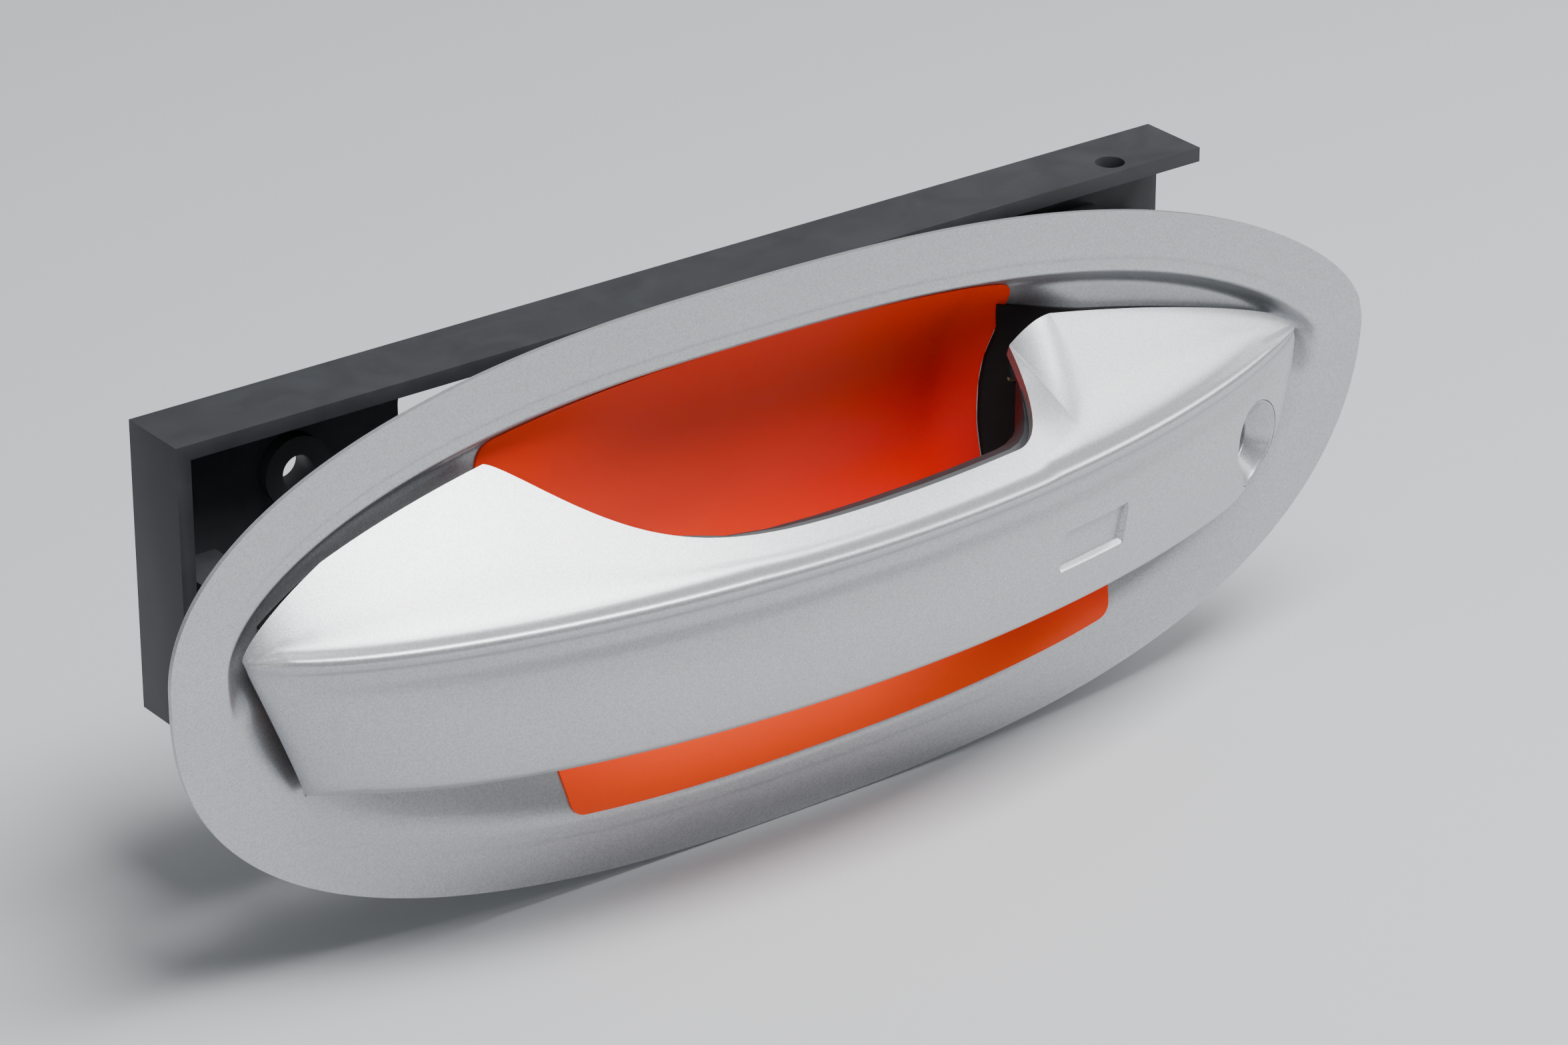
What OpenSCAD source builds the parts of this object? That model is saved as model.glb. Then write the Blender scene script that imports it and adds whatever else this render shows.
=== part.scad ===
// Car door pull handle with its recess, carrier, key cylinder and release crank.
// X runs from the front tip to the rear tip, -Y points away from the door, +Z is up.
// The origin is the centre of the two carrier bolts on the carrier's mounting face.

/* [Grip] */
// Length of the grip from front tip to rear tip
handle_len = 245; // [204:1:294]
// How far the ridge stands out from the door skin at its highest
grip_bow = 30.6; // [25:0.2:37]
// Height of the front face below the ridge
face_h = 30; // [25:0.5:36]
// Length of the front pod along the top edge
front_pod = 53; // [44:1:64]
// Length of the rear pod along the top edge
rear_pod = 61; // [50:1:74]
// Height of the grip's top band between the pods
band_h = 5.4; // [4.5:0.1:6.5]
// Thickness of the grip between the pods, front to back
grip_t = 16.5; // [13.5:0.5:20]
// Wall of the outer shell
shell_wall = 2.2; // [1.8:0.1:2.8]
// Wall of the inner shell
inner_wall = 2; // [1.6:0.1:2.4]
// How far the pod bases sit below the door skin
base_sink = 2.5; // [2:0.1:3]
// Parting gap between the two shells
shell_gap = 0.2; // [0.1:0.05:0.4]

/* [Touch recess] */
// Length of the touch recess along the ridge
touch_l = 18; // [15:0.5:22]
// Height of the touch recess
touch_h = 7; // [5.5:0.25:8.5]
// Depth of the touch recess
touch_deep = 1.1; // [0.8:0.1:1.4]
// Distance of the touch recess from the front tip
touch_at = 172.5; // [160:0.5:180]

/* [Door recess] */
// How much longer the almond-shaped recess is than the grip
dish_over = 9; // [8:1:14]
// Height of the recess above the door crease
dish_up = 32.5; // [30:0.5:39]
// Depth of the recess below the door crease
dish_down = 57.4; // [50:0.5:69]
// Depth of the finger pocket behind the grip
pocket_deep = 19; // [15:0.5:21]
// Depth of the ledge under the pods
ledge_deep = 4.6; // [4.4:0.1:5.5]
// Width of the skin flange round the recess
flange_w = 12; // [8:1:16]
// Thickness of the door skin
skin_t = 1; // [0.7:0.1:1.2]
// Thickness of the protective films
film_t = 0.4; // [0.3:0.05:0.6]

/* [Carrier] */
// Distance from the door skin to the carrier's mounting face
mount_deep = 46; // [45:0.5:54]
// Distance between the two mounting bolts
bolt_pitch = 170; // [160:1:176]
// Height of the mounting holes above the middle
bolt_up = 12; // [11:0.5:13]
// Diameter of a mounting bolt hole
bolt_hole = 6.6; // [5.5:0.1:7.5]
// Wall of the carrier
carrier_wall = 3; // [2.4:0.1:3.6]
// Half the height of the carrier channel
carrier_half = 29; // [28:0.5:32]

/* [Hinge and crank] */
// Distance of the hinge pin behind the front tip
hinge_at = 16; // [15:0.5:19]
// Depth of the hinge pin below the door skin
hinge_deep = 10; // [9:0.5:12]
// Diameter of the hinge and crank pins
pin_d = 5; // [4:0.1:6]
// Running clearance on each side of a pin
pin_play = 0.05; // [0.03:0.01:0.09]
// Half the height of the hinge eye
eye_half = 6; // [5:0.5:7]
// Distance of the crank pin ahead of the rear tip
crank_at = 23.5; // [22:0.5:28]
// Depth of the crank pin below the door skin
crank_deep = 22.4; // [21:0.2:24]
// Reach of the crank's pull lever towards the hook
lever_reach = 26; // [23:0.5:29]
// Depth of the hook's contact at rest
hook_deep = 31; // [30:0.5:32]
// Radius of the crank's cable lever
cable_r = 13; // [11:0.5:14]
// Diameter of the cable nipple seat
nipple_d = 4; // [3:0.1:4.6]

/* [Key cylinder] */
// Distance of the key funnel ahead of the rear tip
key_at = 17.8; // [16:0.2:21]
// Height of the key funnel below the ridge
key_drop = 16.5; // [15:0.5:18]
// Turn of the key axis towards the rear
key_turn = 24; // [20:1:28]
// Outer diameter of the key funnel
funnel_d = 17.6; // [15:0.2:18]
// Diameter of the key funnel's throat
throat_d = 9.6; // [8:0.2:10]
// Diameter of the turning plug
plug_d = 12; // [10:0.2:13]
// Outer diameter of the cylinder housing
housing_d = 18; // [17:0.2:20]
// Length of the cylinder housing
housing_l = 30; // [26:0.5:31]
// Length of the tail lever
tail_l = 11; // [9:0.5:12]

/* [Hidden] */
$fn = 32;

half_len = handle_len / 2;
peak_at = 0.482 * handle_len;      // where the bow stands out most
nose_power = 0.66;                 // bluntness of the bow ahead of its peak
tail_power = 0.85;                 // bluntness of the bow behind its peak
nose_rake = 12;                    // how far the front end slants back at its bottom
nose_rake_len = 90;
tail_sweep = 28;                   // length over which the bottom edge rises to the rear tip
crease_z = -2;

// ---------- plan and section of the grip ----------
function lerp(a, b, t) = a + (b - a) * t;
function clamp(v, lo, hi) = max(lo, min(hi, v));
function smooth(t) = let (c = clamp(t, 0, 1)) c * c * (3 - 2 * c);
function bow(x) = let (a = x < peak_at ? peak_at : handle_len - peak_at,
    q = min(1, abs(x - peak_at) / a))
    grip_bow * pow(max(0, 1 - q * q), x < peak_at ? nose_power : tail_power);
function flat_slope(x) = 1.15 + 0.49 * max(0, x - front_pod) / handle_len;
tip_lift = base_sink - 0.5;         // rise of the base at the front tip, which dips as the rear swings out
function base_d(x) = tip_lift * max(0, 1 - x / (hinge_at + 2)) - base_sink;
function pod_top(x) = (bow(x) - base_d(x)) / flat_slope(x);
function front_blend(x) = x < front_pod ? 1 : exp(-pow((x - front_pod) / 19, 1.35));
leg_len = 26;
function rear_gap(x) = handle_len - rear_pod - x;
function rear_blend(x) = rear_gap(x) < 0 ? 1
    : rear_gap(x) > leg_len ? 0 : pow(cos(90 * rear_gap(x) / leg_len), 2);
function top_z(x) = min(pod_top(x), band_h + (pod_top(front_pod) - band_h) * front_blend(x)
    + (pod_top(handle_len - rear_pod) - band_h) * rear_blend(x));
leg_round = 8;
function leg_drop(x) = rear_gap(x) < 0 ? 0 : leg_round * pow(clamp((22 - rear_gap(x)) / 12, 0, 2), 2);
function top_d(x) = max(base_d(x), bow(x) - flat_slope(x) * top_z(x) - leg_drop(x));
function crease_w(x) = 1.2 + 4.8 * pow(sin(180 * clamp((24 - rear_gap(x)) / 28, 0, 1)), 2);
function face_bottom(x) = let (t = clamp((x - (handle_len - tail_sweep)) / tail_sweep, 0, 0.995))
    face_h * sqrt(1 - t * t);
function pod_mix(x) = clamp(max(front_blend(x), rear_blend(x)), 0, 1);
function back_d(x) = lerp(bow(x) - grip_t, base_d(x), smooth(pod_mix(x)));

// Front profile below the ridge: outward offset in mm and height as a part of the face
face_profile = [[0, 0], [-0.25, 0.035], [-0.75, 0.09], [-0.35, 0.2], [0.5, 0.45],
    [0.3, 0.7], [-0.5, 0.87], [-1.7, 0.95], [-4.4, 1]];

function bez(a, b, c, t) = (1 - t) * (1 - t) * a + 2 * t * (1 - t) * b + t * t * c;
function outer_line(x) = let (b = bow(x), h = face_bottom(x), g = min(1, (b + base_sink) / 12),
    t = [top_d(x), top_z(x)], w = min(crease_w(x), top_z(x) * 0.6),
    p = [b - flat_slope(x) * (t[1] - w), t[1] - w], e = min(1.2, t[1] * 0.3),
    a = [b - flat_slope(x) * e, e])
    concat([t], [for (s = [0.25 : 0.25 : 1]) bez(t, p, a, s)], [[b - 0.3 * g, e * 0.5]],
        [for (f = face_profile) [b + f[0] * g, -h * f[1]]],
        [[max(back_d(x) + 3 * (1 - pod_mix(x)), base_d(x)), -h]]);
outer_n = 16;
function back_line(x) = let (h = face_bottom(x), d = back_d(x), t = [top_d(x), top_z(x)],
    m = 1 - pod_mix(x))
    [[d + 0.8 * m, -h * 0.9], [d, -h * 0.7], [d - 0.6 * m, -h * 0.4], [d, t[1] - (h + t[1]) * 0.25],
    [lerp(d, t[0], 0.25), lerp(-h * 0.1, t[1], 0.7)], [lerp(d, t[0], 0.6), t[1] - 0.5 * m - 0.6]];
function section(x) = concat(outer_line(x), back_line(x));

function edge_normal(a, b) = let (e = b - a, l = max(0.0001, norm(e))) [e[1], -e[0]] / l;
function point_normal(s, i, closed) = let (n = len(s),
    a = closed || i > 0 ? s[(i + n - 1) % n] : s[0],
    b = closed || i < n - 1 ? s[(i + 1) % n] : s[n - 1]) edge_normal(a, b);
function wall_at(x, w) = min(w, 0.42 * (bow(x) - base_d(x)), 0.3 * face_bottom(x));
// Offset of a section: positive w moves its points inwards
function inset(s, w, closed) = [for (i = [0 : len(s) - 1]) s[i] + w * point_normal(s, i, closed)];

// A section point in space: the front end slants back towards its bottom
function rake(x, z) = z > 0 ? 0
    : nose_rake * pow(clamp(1 - x / nose_rake_len, 0, 1), 2) * min(1, -z / face_h);
function place(x, p) = [x + rake(x, p[1]), -p[0], p[1]];

// Stations along the grip, closer together at the tips and the leg
stations = concat([0, 1.5, 4, 8, 12], [for (i = [0 : 4]) lerp(hinge_at + 2, front_pod - 3, i / 4)],
    [for (i = [0 : 7]) front_pod + 4 * i], [for (i = [1 : 7]) lerp(front_pod + 28,
    handle_len - rear_pod - leg_len - 2, i / 7)],
    [for (i = [0 : 11]) handle_len - rear_pod - leg_len + 2.5 * i],
    [for (i = [1 : 5]) lerp(handle_len - rear_pod + 4, handle_len - tail_sweep, i / 5)],
    [for (i = [1 : 6]) handle_len - tail_sweep + tail_sweep * sin(90 * i / 6.4)],
    [handle_len - 0.25]);

function ring_faces(m, n) = concat(
    [for (i = [0 : m - 2], j = [0 : n - 1]) [i * n + j, (i + 1) * n + (j + 1) % n, i * n + (j + 1) % n]],
    [for (i = [0 : m - 2], j = [0 : n - 1]) [i * n + j, (i + 1) * n + j, (i + 1) * n + (j + 1) % n]],
    [for (j = [0 : n - 1]) [m * n, j, (j + 1) % n]],
    [for (j = [0 : n - 1]) [m * n + 1, (m - 1) * n + (j + 1) % n, (m - 1) * n + j]]);
function ring_centre(r) = [for (k = [0 : 2]) let (v = [for (p = r) p[k]]) (max(v) + min(v)) / 2];
module loft(rings) {
    m = len(rings);
    n = len(rings[0]);
    pts = concat([for (r = rings) each r], [ring_centre(rings[0]), ring_centre(rings[m - 1])]);
    polyhedron(points = pts, faces = ring_faces(m, n), convexity = 6);
}
module grip_solid() {
    loft([for (x = stations) [for (p = section(x)) place(x, p)]]);
}
// Everything behind the outer shell's wall, up to a height above the grip
function behind(x, w, top) = let (s = outer_line(x), v = wall_at(x, w), n = len(s),
    t = inset(s, v, false), low = t[n - 1] - [0.8, 0.1])
    concat([t[0] + [-10, top - 28]], [for (i = [0 : n - 2]) t[i]],
    [low, low - [1.5, 8], [-40, -face_h - 12], [-40, top]]);
module behind_shell(w, from, to, top) {
    xs = [for (x = stations) if (x > from && x < to) x];
    loft([for (x = xs) [for (p = behind(x, w, top)) place(x, p)]]);
}
module cavity() {
    xs = [for (x = stations) if (x > 6 && x < handle_len - 4) x];
    loft([for (x = xs) let (s = section(x), n = len(s)) [for (i = [0 : n - 1])
        place(x, s[i] + wall_at(x, i > 0 && i < outer_n - 1 ? 1 : inner_wall)
            * point_normal(s, i, true))]]);
}
// Forces one mesh for a sculpted body
module one_mesh() {
    resize([0, 0, 0]) children();
}

// ---------- door recess ----------
dish_len = handle_len + dish_over;
dish_lead = dish_over / 3;         // gap between the front tip and the recess tip
dish_mid = dish_len / 2 - dish_lead;
outline_n = 36;                    // steps along one half of the outline
function almond(x, centre, nose_p, nose_q, tail_p, tail_q) = let (c = centre * dish_len - dish_lead,
    a = x < c ? c + dish_lead : dish_len - dish_lead - c, q = min(1, abs(x - c) / a))
    x < c ? pow(max(0, 1 - pow(q, nose_p)), nose_q) : pow(max(0, 1 - pow(q, tail_p)), tail_q);
function rim_up(x) = crease_z + dish_up * almond(x, 0.425, 2.4, 0.55, 2.8, 0.75);
function rim_down(x) = crease_z - dish_down * almond(x, 0.484, 2.2, 0.4, 2.8, 0.43);
function rim(j) = let (i = j <= outline_n ? j : 2 * outline_n - j,
    x = dish_len * (1 - cos(180 * i / outline_n)) / 2 - dish_lead)
    [x, j <= outline_n ? rim_up(x) : rim_down(x)];
function spine(j) = let (x = rim(j)[0], u = (x - dish_mid) / (dish_len / 2))
    [dish_mid + 0.82 * (x - dish_mid), crease_z - 10 * (1 - u * u)];
// Lean of the door skin above and below its crease
function skin_y(z) = let (v = z - crease_z, s = sqrt(v * v + 9) - 3)
    0.105 * (v + s) / 2 + 0.07 * (s - v) / 2;
function pocket_at(x) = pocket_deep * smooth((x - front_pod + 15) / 85)
    * smooth((handle_len - rear_pod + 12 - x) / 26);
function below(z) = smooth((crease_z + 4 - z) / 16);
function recess_depth(r, from, to) = let (d = (1 - r) * norm(to - from), low = below(to[1]),
    x = lerp(from[0], to[0], r), steep = 1 - pow(1 - min(1, d / 3.8), 2.2), broad = smooth(d / 15))
    ledge_deep * lerp(steep, broad, low)
    + pocket_at(x) * lerp(1 - r * r, pow(1 - pow(r, 1.8), 1.4), low);
ring_at = [0, 0.15, 0.3, 0.44, 0.56, 0.67, 0.76, 0.83, 0.88, 0.92, 0.95, 0.975, 1];
flange_at = [0.35, 1];
ring_n = 2 * outline_n;
function rim_out(j) = let (a = rim((j + ring_n - 1) % ring_n), b = rim((j + 1) % ring_n), e = b - a)
    [-e[1], e[0]] / norm(e);
function dish_point(k, j) = k < len(ring_at)
    ? let (r = ring_at[k], p = lerp(spine(j), rim(j), r)) [p[0], skin_y(p[1])
        + recess_depth(r, spine(j), rim(j)), p[1]]
    : let (p = rim(j) + rim_out(j) * flange_w * flange_at[k - len(ring_at)]) [p[0], skin_y(p[1]), p[1]];
function fold(k, j) = k > 0 || j <= outline_n ? j : ring_n - j;
// A sheet that follows the recess, from depth y0 to depth y1 behind its painted face
module sheet(y0, y1, rings) {
    n = ring_n;
    m = rings * n;
    pts = [for (y = [y0, y1], k = [0 : rings - 1], j = [0 : n - 1]) dish_point(k, j) + [0, y, 0]];
    quads = [for (k = [0 : rings - 2], j = [0 : n - 1])
        [k * n + fold(k, j), k * n + fold(k, (j + 1) % n), (k + 1) * n + (j + 1) % n, (k + 1) * n + j]];
    skin = [for (q = quads) each (q[0] == q[1] ? [[q[0], q[2], q[3]]]
        : [[q[0], q[1], q[2]], [q[0], q[2], q[3]]])];
    edge = [for (j = [0 : n - 1]) let (a = m - n + j, b = m - n + (j + 1) % n)
        each [[a, b + m, b], [a, a + m, b + m]]];
    polyhedron(points = pts, faces = concat([for (f = skin) [f[0], f[2], f[1]]],
        [for (f = skin) f + [m, m, m]], edge), convexity = 8);
}
sheet_rings = len(ring_at) + len(flange_at);

// Openings in the recess: position along the grip and height, all behind the pods
front_hole = [[hinge_at - 5.5, -19.5], [hinge_at + 20, 1.5]];
rear_hole = [[handle_len - rear_pod - 3, -13], [handle_len - rear_pod + 19, 12]];
front_seat = [46, -8];
rear_seat = [handle_len - 6.5, -5];
seat_y = 14;                       // depth at which the recess sits on the carrier
seat_top = 5.2;
front_screw_d = 5;
rear_screw_d = 4;
front_seat_d = 13;
rear_seat_d = 9;
module rounded(box, r, grow = 0) {
    offset(r = r + grow) offset(delta = -r) translate(box[0]) square(box[1] - box[0]);
}
// Turns an outline drawn as X and Z into a prism through the door
module through(y0, y1) {
    translate([0, y1, 0]) rotate([90, 0, 0]) linear_extrude(y1 - y0) children();
}
module bolt_at(p, r, y0, y1) {
    translate([p[0], y1, p[1]]) rotate([90, 0, 0]) cylinder(r = r, h = y1 - y0);
}
// Frame of the key axis: origin at the funnel's mouth, +Z inwards
key_x = handle_len - key_at;
module key_frame() {
    translate([key_x, -bow(key_x), -key_drop]) rotate([0, 0, key_turn]) rotate([-90, 0, 0]) children();
}
housing_z = 18.5;
key_hole_r = housing_d / 2 + 1.2;
module recess_dish() {
    color("gainsboro") one_mesh() difference() {
        union() {
            sheet(0, skin_t, sheet_rings);
            bolt_at(front_seat, front_seat_d / 2, seat_top, seat_y);
            bolt_at(rear_seat, rear_seat_d / 2, seat_top, seat_y);
        }
        through(-10, 40) rounded(front_hole, 4);
        through(-10, 40) rounded(rear_hole, 5);
        key_frame() translate([0, 0, 6]) cylinder(r = key_hole_r, h = 24);
        bolt_at(front_seat, front_seat_d / 2 - skin_t, 0, seat_y - skin_t);
        bolt_at(rear_seat, rear_seat_d / 2 - skin_t, 0, seat_y - skin_t);
        bolt_at(front_seat, front_screw_d / 2 + 0.2, 0, 20);
        bolt_at(rear_seat, rear_screw_d / 2 + 0.2, 0, 20);
    }
}

// Outlines of the films, as X and Z: they follow the rim and tuck in behind the grip
function along(from, to, n) = [for (i = [0 : n]) lerp(from, to, i / n)];
leg_x = handle_len - rear_pod;
film_edge = [[leg_x - 6, 12], [leg_x - 8, 0], [leg_x - 5, -20]];
film_gap = 0.3;                    // gap between the upper film and the rear gasket
module upper_film() {
    top = [for (x = along(56, leg_x - 7, 10)) [x, rim_up(x) - 3.2]];
    low = [[130, -32], [80, -20], [52, 8]];
    color("orangered") one_mesh() intersection() {
        sheet(-film_t, 0, len(ring_at));
        through(-10, 40) offset(r = 5) offset(delta = -5) polygon(concat(top, film_edge, low));
    }
}
module lower_film() {
    low = [for (x = along(72, 201, 12)) [x, rim_down(x) + 1.4]];
    high = [for (x = along(203, 71, 8)) [x, rim_down(x) + 14]];
    color("orangered") one_mesh() intersection() {
        sheet(-film_t, 0, len(ring_at));
        through(-10, 40) offset(r = 3) offset(delta = -3) polygon(concat(low, high));
    }
}
gasket_t = 1;
module front_gasket() {
    line = concat([for (x = along(6, 50, 8)) [x, pod_top(x) - 3]], [[54, 0], [54, -27]],
        [for (x = along(50, 16, 5)) [x, -28]]);
    color("black") one_mesh() difference() {
        intersection() {
            sheet(-gasket_t, 0, len(ring_at));
            through(-10, 40) polygon(line);
        }
        through(-10, 40) rounded(front_hole, 4);
        bolt_at(front_seat, front_seat_d / 2, -10, 40);
    }
}
module rear_gasket() {
    line = concat([for (x = along(leg_x - 6 + film_gap, handle_len - 5, 10))
        [x, min(pod_top(x), rim_up(x) - 5) - 0.8]],
        [for (x = along(handle_len - 7, leg_x - 4 + film_gap, 10)) [x, 1.5 - face_bottom(x)]],
        [for (i = [2, 1, 0]) film_edge[i] + [film_gap, 0]]);
    color("black") one_mesh() difference() {
        intersection() {
            sheet(-gasket_t, 0, len(ring_at));
            through(-10, 40) polygon(line);
        }
        through(-10, 40) rounded(rear_hole, 5);
        key_frame() translate([0, 0, 6]) cylinder(r = key_hole_r, h = 24);
        bolt_at(rear_seat, rear_seat_d / 2, -10, 40);
    }
}

// ---------- carrier ----------
hinge_z = -9;
lug_t = 3;
lug_r = pin_d / 2 + 2.5;
crank_x = handle_len - crank_at;
crank_lo = 0;
crank_hi = 14;
hub_r = pin_d / 2 + 4;
plate_y = mount_deep - carrier_wall;
seat_z = 37;
seat_l = 8;
cable_z = 5;
hook_x = crank_x - lever_reach;
lever_l = norm([lever_reach, hook_deep - crank_deep]);
lever_a = 180 - atan2(hook_deep - crank_deep, lever_reach);
sweep_a = 2 * atan2(hook_deep - crank_deep, lever_reach);
cable_a = 90 - sweep_a / 2;
nipple = [crank_x + cable_r * cos(cable_a), crank_deep + cable_r * sin(cable_a)];
anchor_x = handle_len - 8;
anchor_d = 9;
post_half = 2.5;                   // half the thickness of the cable anchor's post
boss_wall = 3.7;                   // metal round each mounting hole
boss_l = 6;
sheath_d = 6;
lock_screw_d = 4;
carrier_screw_end = 34;            // depth of the carrier screws' tips
module bar(x0, x1, y0, y1, z0, z1) {
    translate([x0, y0, z0]) cube([x1 - x0, y1 - y0, z1 - z0]);
}
module upright(p, r, z0, z1) {
    translate([p[0], p[1], z0]) cylinder(r = r, h = z1 - z0);
}
module lug(p, r, z0) {
    upright(p, r, z0, z0 + lug_t);
    bar(p[0] - r, p[0] + r, p[1], plate_y + 1, z0, z0 + lug_t);
}
module carrier() {
    h = carrier_half;
    w = carrier_wall;
    mid = half_len;
    color("darkgray") difference() {
        union() {
            bar(6, handle_len, plate_y, mount_deep, -h, h);
            bar(6, handle_len, 30, mount_deep, h - w, h);
            bar(6, handle_len, 30, mount_deep, -h, w - h);
            bar(6, 6 + w, 30, mount_deep, -h, h);
            for (s = [-1, 1]) bolt_at([mid + s * bolt_pitch / 2, bolt_up], bolt_hole / 2 + boss_wall,
                mount_deep - boss_l, mount_deep);
            lug([hinge_at, hinge_deep], lug_r, hinge_z - eye_half - lug_t);
            lug([hinge_at, hinge_deep], lug_r, hinge_z + eye_half);
            bar(hinge_at - 1.5, hinge_at + 1.5, 22, plate_y + 1, hinge_z - eye_half, hinge_z + eye_half);
            lug([crank_x, crank_deep], hub_r, crank_lo - lug_t);
            lug([crank_x, crank_deep], hub_r, crank_hi);
            bolt_at(front_seat, front_seat_d / 2, seat_y, plate_y + 1);
            bolt_at(rear_seat, rear_seat_d / 2, seat_y, plate_y + 1);
            bar(anchor_x - post_half, anchor_x + post_half, nipple[1] - 8, plate_y + 1,
                cable_z - 7, cable_z + 7);
            key_frame() translate([0, 0, seat_z]) lock_seat();
        }
        for (s = [-1, 1]) bolt_at([mid + s * bolt_pitch / 2, bolt_up], bolt_hole / 2, 0, mount_deep + 1);
        upright(nipple, nipple_d / 2 + 1, crank_hi, h + 1);
        upright([hinge_at, hinge_deep], pin_d / 2, hinge_z - 20, hinge_z + 20);
        upright([crank_x, crank_deep], pin_d / 2, crank_lo - 9, crank_hi + 9);
        bolt_at(front_seat, front_screw_d / 2, 0, carrier_screw_end);
        bolt_at(rear_seat, rear_screw_d / 2, 0, carrier_screw_end);
        translate([anchor_x - 9, nipple[1], cable_z]) rotate([0, 90, 0]) cylinder(r = anchor_d / 2, h = 30);
        key_frame() cylinder(r = housing_d / 2, h = 48.5);
        key_frame() translate([0, 0, seat_z + seat_l / 2]) rotate([-90, 0, 0])
            cylinder(r = lock_screw_d / 2, h = 30);
        bar(key_x - 38, key_x + 2, plate_y - 8, mount_deep + 1, w - h, crank_lo - lug_t - 0.01);
        for (x = [-50, -20, 20]) translate([mid + x, 0, 0]) through(plate_y - 1, mount_deep + 1)
            rounded([[-11, w - h + 4], [11, h - w - 4]], 4);
    }
}
// Clamp block round the cylinder housing, from the lower wall up to the crank's lower lug
module lock_seat() {
    translate([-housing_d / 2 - 4, lug_t / 2 - key_drop - crank_lo, 0])
        cube([housing_d + 8, carrier_half + crank_lo - lug_t / 2, seat_l]);
}
module carrier_screws() {
    color("gold") {
        bolt_at(front_seat, front_screw_d / 2, seat_y - skin_t, carrier_screw_end);
        bolt_at(front_seat, 0.9 * front_screw_d, seat_y - skin_t - 3, seat_y - skin_t);
        bolt_at(rear_seat, rear_screw_d / 2, seat_y - skin_t, carrier_screw_end);
        bolt_at(rear_seat, 0.85 * rear_screw_d, seat_y - skin_t - 2.4, seat_y - skin_t);
    }
}
pin_over = 1.8;
clip_t = 0.8;
module pin(p, z0, z1) {
    color("lightsteelblue") upright(p, pin_d / 2, z0 - lug_t - pin_over, z1 + lug_t + pin_over);
}
module hinge_pin() {
    pin([hinge_at, hinge_deep], hinge_z - eye_half, hinge_z + eye_half);
}
module crank_pin() {
    pin([crank_x, crank_deep], crank_lo, crank_hi);
}
module clip(p, z) {
    translate([p[0], p[1], z]) difference() {
        cylinder(r = pin_d / 2 + 1.8, h = clip_t);
        translate([0, 0, -1]) cylinder(r = pin_d / 2, h = 3);
        rotate([0, 0, 225]) translate([0, 0, -1]) cube([8, 2, 3]);
    }
}
module pin_clips() {
    color("dimgray") {
        clip([hinge_at, hinge_deep], hinge_z + eye_half + lug_t);
        clip([hinge_at, hinge_deep], hinge_z - eye_half - lug_t - clip_t);
        clip([crank_x, crank_deep], crank_hi + lug_t);
        clip([crank_x, crank_deep], crank_lo - lug_t - clip_t);
    }
}

// ---------- grip ----------
funnel_deep = 8;
funnel_wall = 1.1;
touch_tilt = atan2(bow(touch_at + 10) - bow(touch_at - 10), 20);
module touch_frame() {
    translate([touch_at, -bow(touch_at), -face_h * 0.5]) rotate([0, 0, -touch_tilt]) children();
}
module touch_recess() {
    w = touch_l / 2;
    h = touch_h / 2;
    touch_frame() rotate([90, 0, 0]) translate([0, 0, -touch_deep + 0.6]) linear_extrude(8)
        polygon([[-w - 1, -h], [w - 1, -h], [w + 1, h], [-w + 1, h]]);
}
module grip_outer_shell() {
    color("silver") one_mesh() difference() {
        grip_solid();
        behind_shell(shell_wall, 3, handle_len - 4, 40);
        touch_recess();
        key_frame() rotate_extrude() polygon([[0, -6], [funnel_d / 2, -6], [funnel_d / 2, 1],
            [throat_d / 2 + funnel_wall, 1 + funnel_deep], [throat_d / 2 + funnel_wall, 22], [0, 22]]);
    }
}
pad_t = 3;
pad_y = base_sink - inner_wall;
front_pad = [[hinge_at + 4, -18], [hinge_at + 26, 0]];
front_pass = [[hinge_at + 8.5, -14], [hinge_at + 19.5, -4]];
rear_pad = [[leg_x - 1, -4], [leg_x + 19, 7.6]];
rear_pass = [[leg_x - 0.8, 0.5], [leg_x + 5.8, 9.5]];
front_screws = [for (x = [6.5, 22.5], z = [-3, -15]) [hinge_at + x, z]];
rear_screws = [[leg_x + 9, 4.4], [leg_x + 15.5, -0.6]];
screw_d = 3;
screw_gap = 0.1;
head_d = 5.4;
head_t = 1.2;
board_at = [touch_at - 14.5, 8];
board_tilt = atan2(bow(board_at[0] + 15) - bow(board_at[0] - 15), 30);
board_t = 1.4;
board_l = 40;
board_h = 15;
module board_frame() {
    translate([board_at[0], board_at[1] - bow(board_at[0]), -face_h * 0.5])
        rotate([0, 0, -board_tilt]) children();
}
antenna_at = [front_pod + 51, 8.5];
antenna_d = 6;
antenna_l = 50;
antenna_z = -15;
antenna_y = antenna_at[1] + 2 - bow(antenna_at[0]);
module post(x, z, y0, y1) {
    translate([x, y1, z]) rotate([90, 0, 0]) cylinder(r = 2.2, h = y1 - y0);
}
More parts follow.
